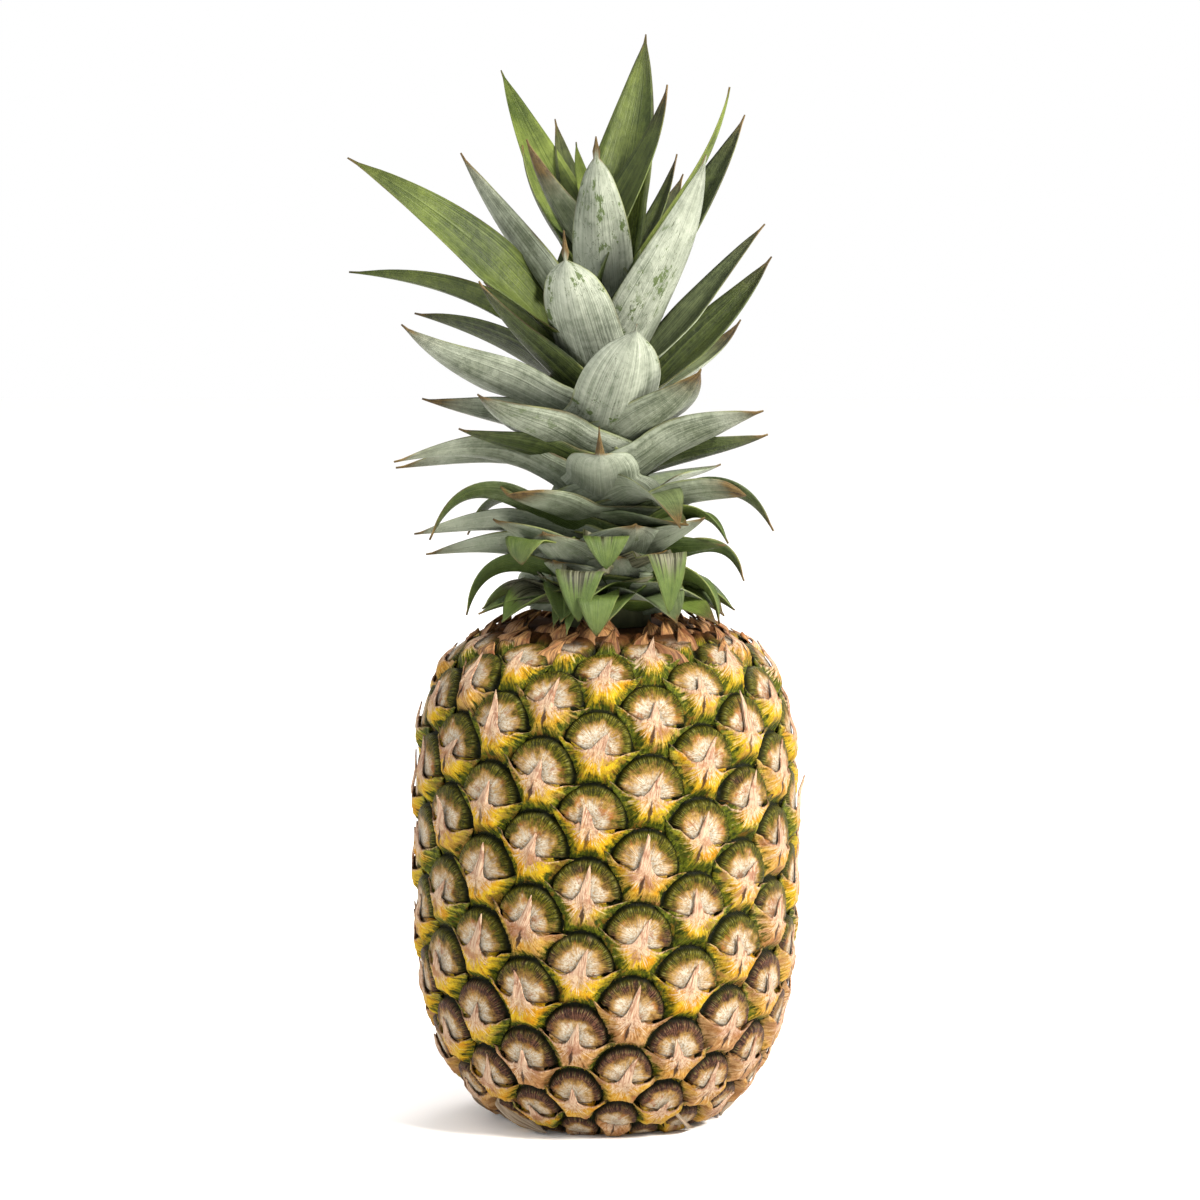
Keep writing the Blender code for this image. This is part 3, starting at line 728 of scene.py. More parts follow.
def make_bracts(fruitlets):
    """The papery bract on every fruitlet: its upper edge stands free over the eye and ends in a spine."""
    level = np.interp(fruitlets.arc, ARC, LEVEL)
    which = np.flatnonzero((level > BRACT_LEVELS[0]) & (level < BRACT_LEVELS[1]))
    draws = np.random.default_rng(8)
    share = np.linspace(-1, 1, BRACT_COLUMNS)
    half = np.linspace(0, 1, len(BRACT_EDGE))
    edge_across = np.sign(share) * np.interp(np.abs(share), half, [p[0] for p in BRACT_EDGE])
    edge_up = np.interp(np.abs(share), half, [p[1] for p in BRACT_EDGE])
    low_across = BASE_REACH * np.sign(share) * np.abs(share) ** 0.9
    low_up = BRACT_BOTTOM + BASE_RISE * np.abs(share) ** 2.4

    own = which[:, None, None]
    jag = draws.normal(0, EDGE_JAG, (len(which), 1, BRACT_COLUMNS)) + fruitlets.skew[own] * edge_across
    spine = np.maximum(edge_up - BRIM_MIDDLE, 0) * (np.abs(edge_across) < SPINE_WIDTH)
    edge_up = edge_up + jag + spine * (fruitlets.reach[own] - 1)
    spine_share = (spine / spine.max()) ** SPINE_POWER
    edge_across = edge_across + spine_share * fruitlets.slant[own]
    row = np.linspace(0, 1, BRACT_ROWS)[None, :, None] ** 0.85
    across = low_across + (edge_across - low_across) * row
    up = low_up + (edge_up - low_up) * row
    across, up = np.broadcast_arrays(across, up)

    turn, arc = fruitlets.spots(across, up, own)
    clear = fruitlets.clearance(turn, arc, own)
    body = np.maximum(body_height(clear), BRACT_LEAST)
    body = body + (SPINE_BED - body) * smoothstep(up, *SPINE_START)
    keel = KEEL_HEIGHT * np.exp(-((across - spine_share * fruitlets.slant[own]) / KEEL_WIDTH) ** 2)
    rise = fruitlets.rise[own] * smoothstep(up, *FREE_PART) ** RISE_POWER
    curl = fruitlets.curl[own] * np.sign(across) * smoothstep(np.abs(across), 0.3, 1.0)
    height = body - BRACT_SINK + (BRACT_EMERGE + keel + curl) * smoothstep(row, 0.05, 0.5) + rise
    height = height * fruitlets.tall[own] / EYE_RADIUS * MM
    top = skin_points(turn, arc, height)
    depth = BRACT_THICKNESS + WEDGE_SHARE * rise * (1 - row**2)
    bottom = skin_points(turn, arc, height - depth * MM)
    item = closed_sheets("bracts", top, bottom)
    store(item, "eye", both_faces(note(across, up, fruitlets.seed[own])))
    store(item, "near", both_faces(note(clear, row, fruitlets.tint[own])))
    return item


def make_collar():
    """Dry brown flakes that lie up the fruit's shoulder, round the crown's foot."""
    draws = np.random.default_rng(3)
    tops, bottoms, notes = [], [], []
    across = np.linspace(-1, 1, COLLAR_ACROSS)[None, :]
    along = np.linspace(0, 1, COLLAR_ALONG)[:, None]
    for level, count, length, width, lift in COLLAR_RINGS:
        start = np.interp(level, LEVEL, ARC)
        for k in range(count):
            first_turn = 360 * (k + draws.uniform(-0.35, 0.35)) / count + level / MM * COLLAR_TWIST
            long = length * MM * draws.uniform(0.4, 1.15)
            half = width * MM / 2 * draws.uniform(0.6, 1.3)
            half = half * ((1 - along) ** draws.uniform(0.5, 1.2) + 0.02)
            skew = draws.uniform(-0.7, 0.7) * long
            arc = start + long * along + 0 * across
            turn = first_turn + np.degrees((across * half + skew * along**2) / radius_at(start))
            wrinkle = 0.5 * np.sin(across * draws.uniform(3, 7) + along * draws.uniform(2, 6))
            curl = draws.uniform(-0.5, 1.5) * across**2 * along + wrinkle * along
            raised = draws.uniform(0.3, 1.2) * lift * along**1.5
            height = (COLLAR_SINK * (2 * np.minimum(along * 3, 1) - 1) + raised + curl) * MM
            tops.append(skin_points(turn, arc, height))
            bottoms.append(skin_points(turn, arc, height - COLLAR_THICKNESS * MM))
            notes.append(note(across, along, draws.uniform()))
    item = closed_sheets("collar_flakes", np.array(tops), np.array(bottoms))
    store(item, "strip", both_faces(np.array(notes)))
    return item


def make_strands():
    """Dry strips of old bracts that hang off the fruit's lower edge and curl along the table."""
    draws = np.random.default_rng(4)
    tops, bottoms, notes = [], [], []
    share = np.linspace(0, 1, STRAND_STATIONS)[:, None]
    across = np.linspace(-1, 1, STRAND_ACROSS)
    for azimuth, swing, width in STRANDS:
        level = STRAND_TIP_LEVEL + (STRAND_LEVEL - STRAND_TIP_LEVEL) * (1 - share) ** 1.6
        turn = np.radians(azimuth + swing * share)
        out = np.interp(level, LEVEL, RADIUS) + STRAND_CLEAR * share**0.7 - STRAND_SINK * (1 - share)
        half = width * MM / 2 * (1 - share**1.5) + STRAND_LEAST
        wave = STRAND_WAVE * np.sin(share * 9 + draws.uniform(0, 6)) * share
        top = around(turn, out + wave, level) + around(turn, *STRAND_LEAN) * (across * half)[..., None]
        top[..., 2] = np.maximum(top[..., 2], STRAND_LOWEST[0])
        bottom = top - around(turn, *STRAND_UNDER) * STRAND_THICKNESS
        bottom[..., 2] = np.maximum(bottom[..., 2], STRAND_LOWEST[1])
        tops.append(top)
        bottoms.append(bottom)
        notes.append(note(across, share, draws.uniform()))
    item = closed_sheets("strands", np.array(tops), np.array(bottoms))
    store(item, "strip", both_faces(np.array(notes)))
    return item


# The crown


def stem_radius(level):
    share = (level - SEAT_LEVEL - GAP) / STEM_LENGTH
    return STEM_BASE_RADIUS + (STEM_TIP_RADIUS - STEM_BASE_RADIUS) * share


def half_width(leaf, share):
    """Half of a leaf's width along its length: it is broad where it clasps the stem and ends in a point."""
    half = leaf.width * MM / 2
    swell = FOOT_SWELL + LOW_SWELL * max(0, (LOW_ROOT - leaf.root) / (LOW_ROOT - SEAT_LEVEL / MM))
    broad = half * (1 + swell * max(0, 1 - share / WIDEST_SHARE))
    if leaf.fold:
        return max(broad * min(1.0, (1 - share) / (1 - crease_share(leaf))) ** FLAP_POWER, LEAST_WIDTH)
    blade_end = 1 - leaf.thorn
    beyond = max(0, (share - WIDEST_SHARE) / (blade_end - WIDEST_SHARE))
    if beyond < 1:
        rounded = math.sqrt(max(0, 1 - max(0, beyond - ROUND_FROM) ** 2 / (1 - ROUND_FROM) ** 2))
        return max(broad * (1 - (1 - leaf.blunt) * beyond**leaf.taper) * rounded, LEAST_WIDTH)
    return max(THORN_WIDTH * (1 - share) / max(leaf.thorn, 0.01), LEAST_WIDTH)


def upright_plane(azimuth):
    """Turns a pair, out from the axis and up, into a place or direction at this azimuth."""
    turn = math.radians(azimuth)
    return lambda pair: Vector((pair.x * math.sin(turn), -pair.x * math.cos(turn), pair.y))


def leaf_path(leaf):
    """The midrib, from inside the stem to the tip, as points and top directions."""
    if leaf.fold:
        return folded_path(leaf)
    lift, end = math.radians(leaf.lift), math.radians(leaf.end)
    root, tip, _ = ends_of(leaf)
    handle = (LEAST_HANDLE + BENT_HANDLE * abs(leaf.lift - leaf.end) / 90) * (tip - root).length
    first = root + handle * Vector((math.cos(lift), math.sin(lift)))
    second = tip - handle * Vector((math.cos(end), math.sin(end)))
    points, tops = [], []
    for k in range(LEAF_STATIONS):
        share = k / (LEAF_STATIONS - 1)
        rest = 1 - share
        bend = rest**3 * root + 3 * rest**2 * share * first + 3 * rest * share**2 * second + share**3 * tip
        slope = rest**2 * (first - root) + 2 * rest * share * (second - first) + share**2 * (tip - second)
        slope.normalize()
        placed = upright_plane(leaf.azimuth + leaf.veer * share)
        points.append(placed(bend))
        roll = Quaternion(placed(slope), math.radians(leaf.roll * min(1, 2 * share)))
        tops.append(roll @ placed(slope.orthogonal()))
    return points, tops


def ends_of(leaf):
    """Where the leaf's midrib starts and ends, out from the axis and up, and where a crease would be."""
    root = Vector((stem_radius(leaf.root * MM) - ROOT_SINK, leaf.root * MM))
    tip = Vector((leaf.reach * MM, leaf.tip * MM))
    return root, tip, tip + Vector((-FOLD_SETBACK, leaf.fold * MM))


def crease_share(leaf):
    root, tip, crest = ends_of(leaf)
    out, over = (crest - root).length, (tip - crest).length
    return out / (out + over)


def folded_path(leaf):
    """The midrib of a leaf that is creased and hangs over: straight out, a tight bend and straight down."""
    root, tip, crest = ends_of(leaf)
    crease = crease_share(leaf)
    flat = []
    for k in range(LEAF_STATIONS):
        share = k / (LEAF_STATIONS - 1)
        if share < crease:
            part = share / crease
            flat.append(root.lerp(crest, part) + Vector((0, FOLD_ARCH * math.sin(math.pi * part))))
        else:
            part = (share - crease) / (1 - crease)
            flat.append(crest.lerp(tip, part) + Vector((FOLD_ARCH * math.sin(math.pi * part), 0)))
    placed = upright_plane(leaf.azimuth)
    return [placed(spot) for spot in flat], [placed(slope.orthogonal()) for slope in directions(flat)]


def directions(points):
    """The way that a row of points runs, at each of them."""
    ahead = points[1:] + points[-1:]
    behind = points[:1] + points[:-1]
    return [(after - before).normalized() for after, before in zip(ahead, behind)]


def leaf_sections(leaf, draws):
    """Closed cross-sections along one leaf, and each point's place on it."""
    points, tops = leaf_path(leaf)
    across = np.linspace(-1, 1, LEAF_ACROSS)
    sway = draws.uniform(0, 6)
    rows, notes = [], []
    for k, (point, top, ahead) in enumerate(zip(points, tops, directions(points))):
        share = k / (LEAF_STATIONS - 1)
        side = top.cross(ahead).normalized()
        up = ahead.cross(side)
        half = half_width(leaf, share)
        gutter = LEAF_GUTTER + FOOT_GUTTER * max(0, 1 - share / FOOT_SHARE)
        if leaf.fold and share > 0.5:
            gutter = FLAP_GUTTER
        ripple = LEAF_RIPPLE * math.sin(sway + 7 * share) * half
        lift = gutter * half * np.abs(across) ** GUTTER_POWER + ripple * across
        thick = (LEAF_EDGE + (LEAF_MIDDLE - LEAF_EDGE) * (1 - across**2)) * (1 - TIP_THINNING * share)
        flat = np.array(point) + np.outer(across * half, side)
        lower, upper = flat + np.outer(lift - thick / 2, up), flat + np.outer(lift + thick / 2, up)
        rows.append(np.concatenate([lower, upper[::-1]]))
        along = min(share / (1 - leaf.thorn), 1 + THORN_BEYOND)
        notes.append(np.concatenate([note(across, along, 0), note(across[::-1], along, 1)]))
    return np.concatenate(rows), np.concatenate(notes)


def usual(root):
    return [float(np.interp(root, list(USUAL), values)) for values in zip(*USUAL.values())]


def crown_leaves():
    """Every leaf: those that the photograph shows, those round the stem's foot and those behind."""
    draws, looks = random.Random(12), random.Random(7)
    leaves = SHORT_LEAVES + MIDDLE_LEAVES + INNER_LEAVES
    for k in range(FOOT_COUNT):
        height = draws.uniform(0, 3)
        leaves.append(
            replace(
                FOOT_LEAF,
                azimuth=360 * GOLDEN_PART * k,
                root=FOOT_LEAF.root + height,
                tip=FOOT_LEAF.tip + height,
                look=looks.choice(("grey", "green", "striped")),
            )
        )
    for k in range(HIDDEN_COUNT):
        spread = (k * GOLDEN_PART) % 1 * 2 - 1
        rank = (k / (HIDDEN_COUNT - 1)) ** HIDDEN_CROWDING
        root = HIDDEN_ROOTS[0] + (HIDDEN_ROOTS[1] - HIDDEN_ROOTS[0]) * rank
        reach, tip, width, lift, end = usual(root)
        leaves.append(
            Leaf(
                180 + HIDDEN_SPREAD * spread,
                root,
                reach * draws.uniform(0.9, 1.05),
                tip + draws.uniform(-3, 3),
                width * draws.uniform(0.9, 1.1),
                lift,
                end + draws.uniform(-10, 10),
                roll=draws.uniform(-15, 15),
                look=looks.choice(("grey", "dark", "pale", "burnt")),
            )
        )
    return leaves


def make_leaves():
    draws = random.Random(9)
    points, faces = [], []
    kept = {"leaf": [], "tone": [], "mark": []}
    ring = 2 * LEAF_ACROSS
    for number, leaf in enumerate(crown_leaves()):
        places, notes = leaf_sections(leaf, draws)
        points.append(places)
        tone = [value + draws.uniform(-0.08, 0.08) for value in LOOKS[leaf.look]]
        kept["leaf"].append(notes)
        kept["tone"].append(np.tile(tone, (len(places), 1)))
        kept["mark"].append(np.tile((leaf.look == "striped", draws.uniform(0, 9), 0), (len(places), 1)))
        blade = tube_faces(LEAF_STATIONS, ring, number * LEAF_STATIONS * ring)
        faces += [face[::-1] for face in blade]
    item = add_object("crown_leaves", np.concatenate(points), faces)
    for name, values in kept.items():
        store(item, name, np.concatenate(values))
    return item


def make_stem():
    azimuth = np.linspace(0, 2 * math.pi, STEM_SIDES, endpoint=False)
    level = np.linspace(SEAT_LEVEL + GAP, SEAT_LEVEL + GAP + STEM_LENGTH, STEM_ROWS)[:, None]
    radius = stem_radius(level) * (1 + STEM_WAVE * np.sin(5 * azimuth + level * 400))
    points = around(azimuth, radius, level).reshape(-1, 3)
    return add_object("crown_stem", points, tube_faces(STEM_ROWS, STEM_SIDES))


# Materials


def bract_colour(paint, across, up, clear, seed, tint, level):
    """The swollen body of a bract: papery under its spine, yellow beside it and green at its lower edge."""
    spin = seed * 31
    spread = (across * across + (up + 0.12) * (up + 0.12)) ** 0.5 + 0.03
    rays = paint.noise((across / spread * 11, (up + 0.12) / spread * 11, spread * 1.5 + spin), 5.0, 0.7)
    fine = paint.noise((across * 11, up * 7, spin), 5.0, 0.68)
    mixed = rays * 0.5 + fine * 0.5
    blotch = paint.noise((across * 1.7, up * 1.7, spin), 3.0, 0.6)
    glow = (blotch * 0.5 + rays * 0.3 + fine * 0.2).ramp(0.4, 0.58)
    yellow = paint.mix((0.80, 0.38, 0.01), (0.94, 0.70, 0.03), glow)
    lime = paint.mix((0.26, 0.28, 0.02), (0.58, 0.60, 0.07), mixed.ramp(0.38, 0.6))
    unripe = seed.ramp(0.45, 1.0) * 0.45
    limy = abs(across) * 0.7 + (blotch - 0.5) * 2.2 + (fine - 0.5) + unripe
    tan = paint.mix((0.40, 0.17, 0.05), (0.86, 0.55, 0.26), mixed.ramp(0.36, 0.6))
    dryness = (tint * 0.8 + level.ramp(0.10, 0.0) * 0.5 - 0.2 + (blotch - 0.5) * 1.3).ramp(0.25, 0.8)
    olive = paint.mix((0.050, 0.070, 0.006), (0.27, 0.31, 0.025), mixed.ramp(0.38, 0.62))
    edging = clear + (rays - 0.5) * 0.8 + (fine - 0.5) * 0.5 + (dryness - 0.4) * 0.16 - unripe * 0.3
    paper = paint.mix((0.50, 0.25, 0.14), (0.99, 0.78, 0.58), mixed.ramp(0.38, 0.58))
    flushed = paint.mix(paper, (0.50, 0.20, 0.15), (blotch - 0.5).ramp(0.0, 0.16) * 0.5)
    spoke = rays * 1.7 + (fine - 0.5) * 0.6 - spread * 1.0 - 0.44
    side_brown = (blotch * 0.6 + fine * 0.4 - 0.53).ramp(0.0, 0.07)
    crack = (abs(across + (fine - 0.5) * 0.16) + abs(up + 0.55) * 0.2).ramp(0.09, 0.04)
    specks = (paint.noise((across * 8, up * 8, spin + 3), 5.0, 0.75) - 0.6).ramp(0.0, 0.05)
    groove = (clear + (fine - 0.5) * 0.16).ramp(0.085, 0.005)
    body = paint.layers(
        yellow,
        (lime, limy.ramp(0.5, 1.05)),
        (tan, dryness),
        (olive, edging.ramp(0.29, 0.02)),
        (flushed, spoke.ramp(-0.14, 0.1) * 0.9),
        ((0.42, 0.15, 0.03), side_brown * 0.5),
        ((0.06, 0.025, 0.015), crack * (tint - 0.35).ramp(0.0, 0.15) * 0.9),
        ((0.20, 0.08, 0.03), specks * 0.55),
        ((0.020, 0.024, 0.001), groove),
    )
    return body, mixed, fine


def eye_colour(paint, across, up, seed, level):
    """A round eye: a pale middle that fades through straw and olive to a dark, finely ticked rim."""
    spin = seed * 47
    away = (across * across + up * up) ** 0.5
    ray_x, ray_y = across / (away + 0.02), up / (away + 0.02)
    fringe = paint.noise((ray_x * 9, ray_y * 9, away * 2.0 + spin), 4.0, 0.65)
    hairs = paint.noise((ray_x * 26, ray_y * 26, away * 1.6 + spin), 2.0, 0.6)
    mottle = paint.noise((across * 2.6, up * 2.6, spin), 5.0, 0.62)
    grain = paint.noise((across * 15, up * 15, spin + 5), 4.0, 0.7)
    depth = away + up * 0.1 + (fringe - 0.5) * 0.45 + (mottle - 0.5) * 0.9 + (grain - 0.5) * 0.3
    pale = paint.mix((0.66, 0.44, 0.22), (1.0, 0.92, 0.76), (grain * 0.6 + hairs * 0.4).ramp(0.4, 0.56))
    straw = paint.mix((0.20, 0.10, 0.02), (0.74, 0.46, 0.14), (grain * 0.4 + fringe * 0.6).ramp(0.38, 0.6))
    lit = (hairs * 0.55 + grain * 0.45).ramp(0.42, 0.62)
    olive = paint.mix((0.045, 0.046, 0.001), (0.22, 0.20, 0.012), lit)
    purple = paint.mix((0.040, 0.018, 0.012), (0.27, 0.13, 0.08), lit)
    ripening = (seed * 0.5 + level.ramp(0.095, 0.02) * 0.75 + (mottle - 0.5) * 1.0).ramp(0.45, 0.75)
    ring = paint.mix(olive, purple, ripening)
    ruddy = (paint.noise((across * 2.4, up * 2.4, spin + 9), 4.0, 0.6) - 0.55).ramp(0.0, 0.12)
    ticks = away.ramp(0.78, 0.86) * away.ramp(0.97, 0.92) * (hairs - 0.55).ramp(0.0, 0.06)
    shade = (away + (hairs - 0.5) * 0.16).ramp(0.86, 0.97)
    colour = paint.layers(
        pale,
        (straw, depth.ramp(0.36, 0.68)),
        ((0.48, 0.15, 0.02), ruddy * 0.6),
        (ring, depth.ramp(0.58, 0.84)),
        ((0.40, 0.42, 0.16), ticks * 0.5),
        ((0.012, 0.016, 0.003), shade),
    )
    return colour, away, hairs, mottle


def rind_material():
    paint = Paint("rind")
    across, up, seed = paint.attribute("eye")
    clear, side, tint = paint.attribute("near")
    x, y, level = paint.place()
    body, mixed, fine = bract_colour(paint, across, up, clear, seed, tint, level)
    eye, away, hairs, mottle = eye_colour(paint, across, up, seed, level)
    line = (abs(across) / BRIM_SPREAD).least(BRIM_END) ** BRIM_POWER * BRIM_RISE + BRIM_MIDDLE
    in_eye = away.ramp(1.02, 1.0) * (up - line).ramp(-0.01, 0.02)
    # painted shadow: the eye is darkened just under the bract's free edge, where that edge's shade falls
    painted_brim_shadow = (up - line + (fine - 0.5) * 0.05).ramp(0.1, 0.0) * away.ramp(1.0, 0.8)
    eye = paint.mix(eye, (0.07, 0.035, 0.02), painted_brim_shadow * 0.8)
    skin = paint.mix(body, eye, in_eye)
    cork = paint.noise((x * 900, y * 900, level * 900), 4.0, 0.6)
    bare = paint.mix((0.10, 0.06, 0.03), (0.38, 0.25, 0.13), cork)
    crowded = level.ramp(*CROWDED_LEVELS)
    brown = paint.mix((0.04, 0.015, 0.006), (0.30, 0.13, 0.04), cork)
    colour = paint.layers(bare, (skin, side), (brown, crowded))
    relief = mixed * (in_eye * -1 + 1) + (hairs * 0.5 + mottle * 0.5) * in_eye
    roughness = mottle * 0.3 + 0.36 + crowded * 0.5
    return paint.finish(colour, roughness, relief, 1.6 * MM, specular=0.08, contrast=1.14)


def bract_material():
    paint = Paint("bract")
    across, up, seed = paint.attribute("eye")
    clear, edge, tint = paint.attribute("near")
    level = paint.place()[2]
    body, _, fine = bract_colour(paint, across, up, clear + 0.1, seed, tint, level)
    fibres = paint.noise((across * 30, up * 2.4, seed * 23), 4.0, 0.65)
    paper = paint.mix((0.52, 0.27, 0.16), (0.96, 0.72, 0.52), fibres.ramp(0.34, 0.6))
    stain = paint.noise((across * 3.0, up * 3.0, seed * 13), 4.0, 0.6)
    paper = paint.mix(paper, (0.42, 0.17, 0.09), (stain - 0.53).ramp(0.0, 0.13) * 0.65)
    papery = (edge - abs(across) * 0.18 + (fine - 0.5) * 0.6).ramp(0.7, 0.98)
    spine = up.ramp(-0.22, -0.04) * abs(across).ramp(0.6, 0.3)
    colour = paint.mix(body, paper, papery.most(spine))
    rim = (edge + (fibres - 0.5) * 0.04).ramp(0.965, 1.0) * abs(across).ramp(0.2, 0.4)
    colour = paint.mix(colour, (0.35, 0.16, 0.08), rim * 0.5)
    relief = fibres * 0.6 + fine * 0.4
    return paint.finish(colour, fine * 0.2 + 0.5, relief, 1.3 * MM, specular=0.1, contrast=1.12)


def strip_material(name, dark, light, flush):
    """Dry papery strips, with fibres along them."""
    paint = Paint(name)
    across, along, seed = paint.attribute("strip")
    fibres = paint.noise((across * 5, along * 1.2, seed * 40), 4.0, 0.65)
    patch = paint.noise((across, along * 2.5, seed * 40 + 7), 3.0)
    colour = paint.mix(dark, light, fibres.ramp(0.32, 0.66))
    colour = paint.mix(colour, flush, (patch - 0.48).ramp(0.0, 0.2) * 0.7)
    colour = paint.mix(colour, dark, (seed + (patch - 0.5) * 0.8).ramp(0.45, 1.1) * 0.7)
    return paint.finish(colour, patch * 0.2 + 0.55, fibres, 0.6 * MM, specular=0.25)


def leaf_material():
    paint = Paint("leaf")
    across, along, face = paint.attribute("leaf")
    bloom, fresh, brown = paint.attribute("tone")
    striped, spin, _ = paint.attribute("mark")
    x, y, level = paint.place()
    veins = paint.noise((across * 14, along * 0.8, spin), 3.0, 0.6)
    lines = paint.noise((across * 44, along * 1.2, spin), 2.0, 0.6)
    cloud = paint.noise((x * 55, y * 55, level * 55), 3.0)
    grain = paint.noise((x * 420, y * 420, level * 300), 4.0, 0.65)
    streak = veins * 0.3 + lines * 0.4 + grain * 0.3

    green = paint.mix((0.024, 0.040, 0.012), (0.17, 0.22, 0.06), streak.ramp(0.36, 0.64))
    glow = (streak * 0.6 + cloud * 0.4).ramp(0.36, 0.62)
    bright = paint.mix((0.07, 0.12, 0.012), (0.36, 0.45, 0.10), glow)
    green = paint.mix(green, bright, (fresh + (cloud - 0.5) * 0.7) * (along * 0.5 + 0.5))
    wax = paint.mix((0.20, 0.24, 0.165), (0.72, 0.78, 0.64), (streak * 0.7 + cloud * 0.3).ramp(0.34, 0.64))
    # painted light: towards the crown's foot the leaves' wax and green are made paler, to lift the shade they
    # lie in
    wax = paint.mix(wax, (0.52, 0.59, 0.44), level.ramp(0.25, 0.19) * 0.55)
    green = paint.mix(green, (0.17, 0.27, 0.07), level.ramp(0.24, 0.18) * 0.45)
    waxed = (bloom * 1.25 + (cloud - 0.5) * 0.6 + (streak - 0.5) * 0.6 - 0.1).ramp(0.15, 0.85)
    scratch = paint.noise((across * 3 + spin, along * 9, spin), 6.0, 0.72)
    patch = paint.noise((x * 38, y * 38, level * 38 + spin), 2.0)
    rubbed = (scratch - 0.56).ramp(0.0, 0.03) * (patch - 0.48).ramp(0.0, 0.08) * bloom.ramp(0.5, 0.8)
    crease = paint.noise((across * 2.5 + along * 2, along * 4, spin + 3), 3.0, 0.6)
    scored = abs(crease - 0.5).ramp(0.007, 0.002) * (patch - 0.4).ramp(0.0, 0.1) * bloom.ramp(0.4, 0.7)
    outer = paint.layers(
        green,
        (wax, waxed),
        ((0.10, 0.17, 0.012), rubbed * 0.8),
        ((0.07, 0.09, 0.03), scored * 0.6),
    )
    inner = paint.mix(green, wax, waxed * 0.16)

    ribs = paint.noise((across * 6, along * 0.8, spin), 3.0, 0.7)
    withered = paint.mix((0.035, 0.026, 0.014), (0.42, 0.40, 0.30), ribs.ramp(0.4, 0.6))
    top = (along + (ribs - 0.5) * 0.5 + abs(across) * 0.12).ramp(0.86, 0.72) * striped

    edge = abs(across) + (grain - 0.5) * 0.05
    rim = paint.mix((0.12, 0.07, 0.02), (0.36, 0.40, 0.12), (cloud + fresh * 0.15).ramp(0.42, 0.58))
    ends = along + brown * 0.16 + (veins - 0.5) * 0.12 + abs(across) * 0.04
    flush = paint.mix((0.055, 0.038, 0.016), (0.24, 0.18, 0.07), streak.ramp(0.4, 0.6))
    dead = paint.mix((0.06, 0.035, 0.014), (0.38, 0.26, 0.09), streak.ramp(0.35, 0.65))
    colour = paint.layers(
        outer,
        (inner, face),
        # painted shade: darker green towards each leaf's base, down among the crowded leaves
        ((0.045, 0.075, 0.03), along.ramp(0.26, 0.0) * 0.35),
        (withered, top * 0.85),
        (rim, edge.ramp(0.955, 0.995) * (patch - 0.4).ramp(0.0, 0.2) * 0.65),
        (flush, ends.ramp(0.86, 1.08) * brown.ramp(0.1, 0.9) * 0.75),
        (dead, (ends + (grain - 0.5) * 0.05).ramp(1.02, 1.08)),
    )
    roughness = waxed * 0.15 + 0.45
    relief = streak * 0.8 + grain * 0.2
    return paint.finish(colour, roughness, relief, 1.0 * MM, specular=0.22, contrast=1.12)


def stem_material():
    paint = Paint("crown_stem")
    x, y, level = paint.place()
    streak = paint.noise((x * 300, y * 300, level * 60), 3.0)
    colour = paint.mix((0.05, 0.06, 0.03), (0.22, 0.24, 0.12), streak)
    return paint.finish(colour, streak * 0.2 + 0.7, streak, 0.4 * MM, specular=0.1)


def stalk_material():
    """The cut end of the stalk: pale fibre ends in dry pith inside a darker ring."""
    paint = Paint("cut_stalk")
    x, y, level = paint.place()
    away = (x * x + y * y) ** 0.5 / STALK_RADIUS
    pith = paint.noise((x * 700, y * 700, level * 150), 4.0, 0.6)
    fibres = paint.noise((x * 2600, y * 2600, level * 120), 2.0, 0.6)
    colour = paint.mix((0.34, 0.22, 0.11), (0.68, 0.54, 0.34), (pith * 0.5 + fibres * 0.5).ramp(0.35, 0.65))
    colour = paint.mix(colour, (0.15, 0.085, 0.04), (away + (pith - 0.5) * 0.15).ramp(0.86, 0.96))
    return paint.finish(colour, pith * 0.2 + 0.6, fibres, 0.6 * MM, specular=0.2)


# The studio


def make_floor():
    half = FLOOR_SIZE / 2
    corners = [(-half, -half, 0), (half, -half, 0), (half, half, 0), (-half, half, 0)]
    floor = add_object("floor", corners, [(0, 1, 2, 3)])
    material = bpy.data.materials.new("floor")
    material.use_nodes = True
    shader = material.node_tree.nodes["Principled BSDF"]
    shader.inputs["Base Color"].default_value = (*FLOOR_COLOUR, 1)
    shader.inputs["Roughness"].default_value = FLOOR_ROUGHNESS
    floor.data.materials.append(material)


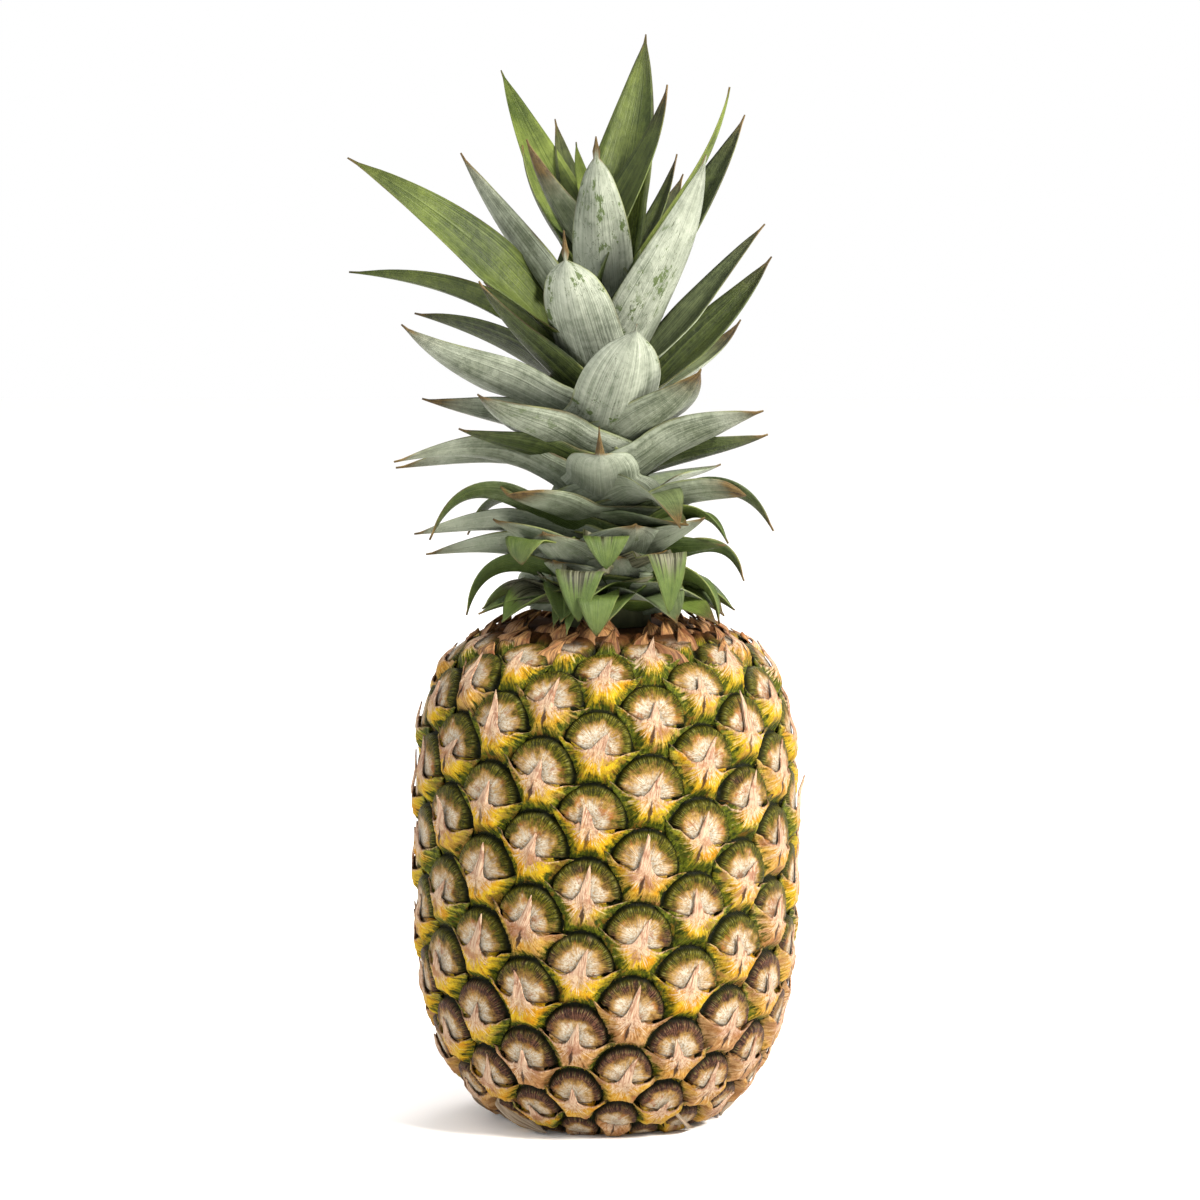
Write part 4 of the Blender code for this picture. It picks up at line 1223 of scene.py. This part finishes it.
def add_lamp(name, azimuth, elevation, distance, size, watts, colour):
    """A soft square lamp that points at the fruit."""
    lamp = bpy.data.lights.new(name, "AREA")
    lamp.shape = "SQUARE"
    lamp.size = size
    lamp.energy = watts
    lamp.color = colour
    item = bpy.data.objects.new(name, lamp)
    turn, rise = math.radians(azimuth), math.radians(elevation)
    away = Vector((math.sin(turn) * math.cos(rise), -math.cos(turn) * math.cos(rise), math.sin(rise)))
    item.location = VIEW_TARGET + away * distance
    item.rotation_mode = "QUATERNION"
    item.rotation_quaternion = (-away).to_track_quat("-Z", "Y")
    bpy.context.scene.collection.objects.link(item)


def make_studio():
    make_floor()
    scene = bpy.context.scene
    world = bpy.data.worlds.new("studio")
    world.use_nodes = True
    background = world.node_tree.nodes["Background"]
    background.inputs["Color"].default_value = (1, 1, 1, 1)
    background.inputs["Strength"].default_value = 1.0
    scene.world = world
    for name, lamp in LAMPS.items():
        add_lamp(name, *lamp)
    scene.view_settings.view_transform = "Standard"
    scene.view_settings.look = "None"

    camera = bpy.data.objects.new("camera", bpy.data.cameras.new("camera"))
    camera.data.lens = LENS
    camera.data.sensor_width = SENSOR
    rise = math.radians(VIEW_ELEVATION)
    camera.location = VIEW_TARGET + VIEW_DISTANCE * Vector((0, -math.cos(rise), math.sin(rise)))
    camera.rotation_euler = (math.radians(90 - VIEW_ELEVATION), 0, 0)
    scene.collection.objects.link(camera)
    scene.camera = camera


def make_fruit():
    fruitlets = Fruitlets()
    finish_piece(make_rind(fruitlets), "fruit", rind_material())
    finish_piece(make_bracts(fruitlets), "fruit", bract_material())
    flakes = strip_material("flake", (0.11, 0.035, 0.012), (0.82, 0.44, 0.16), (0.38, 0.12, 0.03))
    finish_piece(make_collar(), "fruit", flakes)
    straw = strip_material("straw", (0.22, 0.15, 0.09), (0.62, 0.50, 0.36), (0.35, 0.24, 0.15))
    finish_piece(make_strands(), "fruit", straw)


def make_crown():
    finish_piece(make_leaves(), "crown", leaf_material())
    finish_piece(make_stem(), "crown", stem_material())


def dress_stalk():
    """The stalk's solid has the right shape, so it only takes a better material."""
    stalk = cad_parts["stalk"]
    material = stalk_material()
    for socket in stalk.material_slots:
        socket.material = material


make_studio()
make_fruit()
make_crown()
dress_stalk()
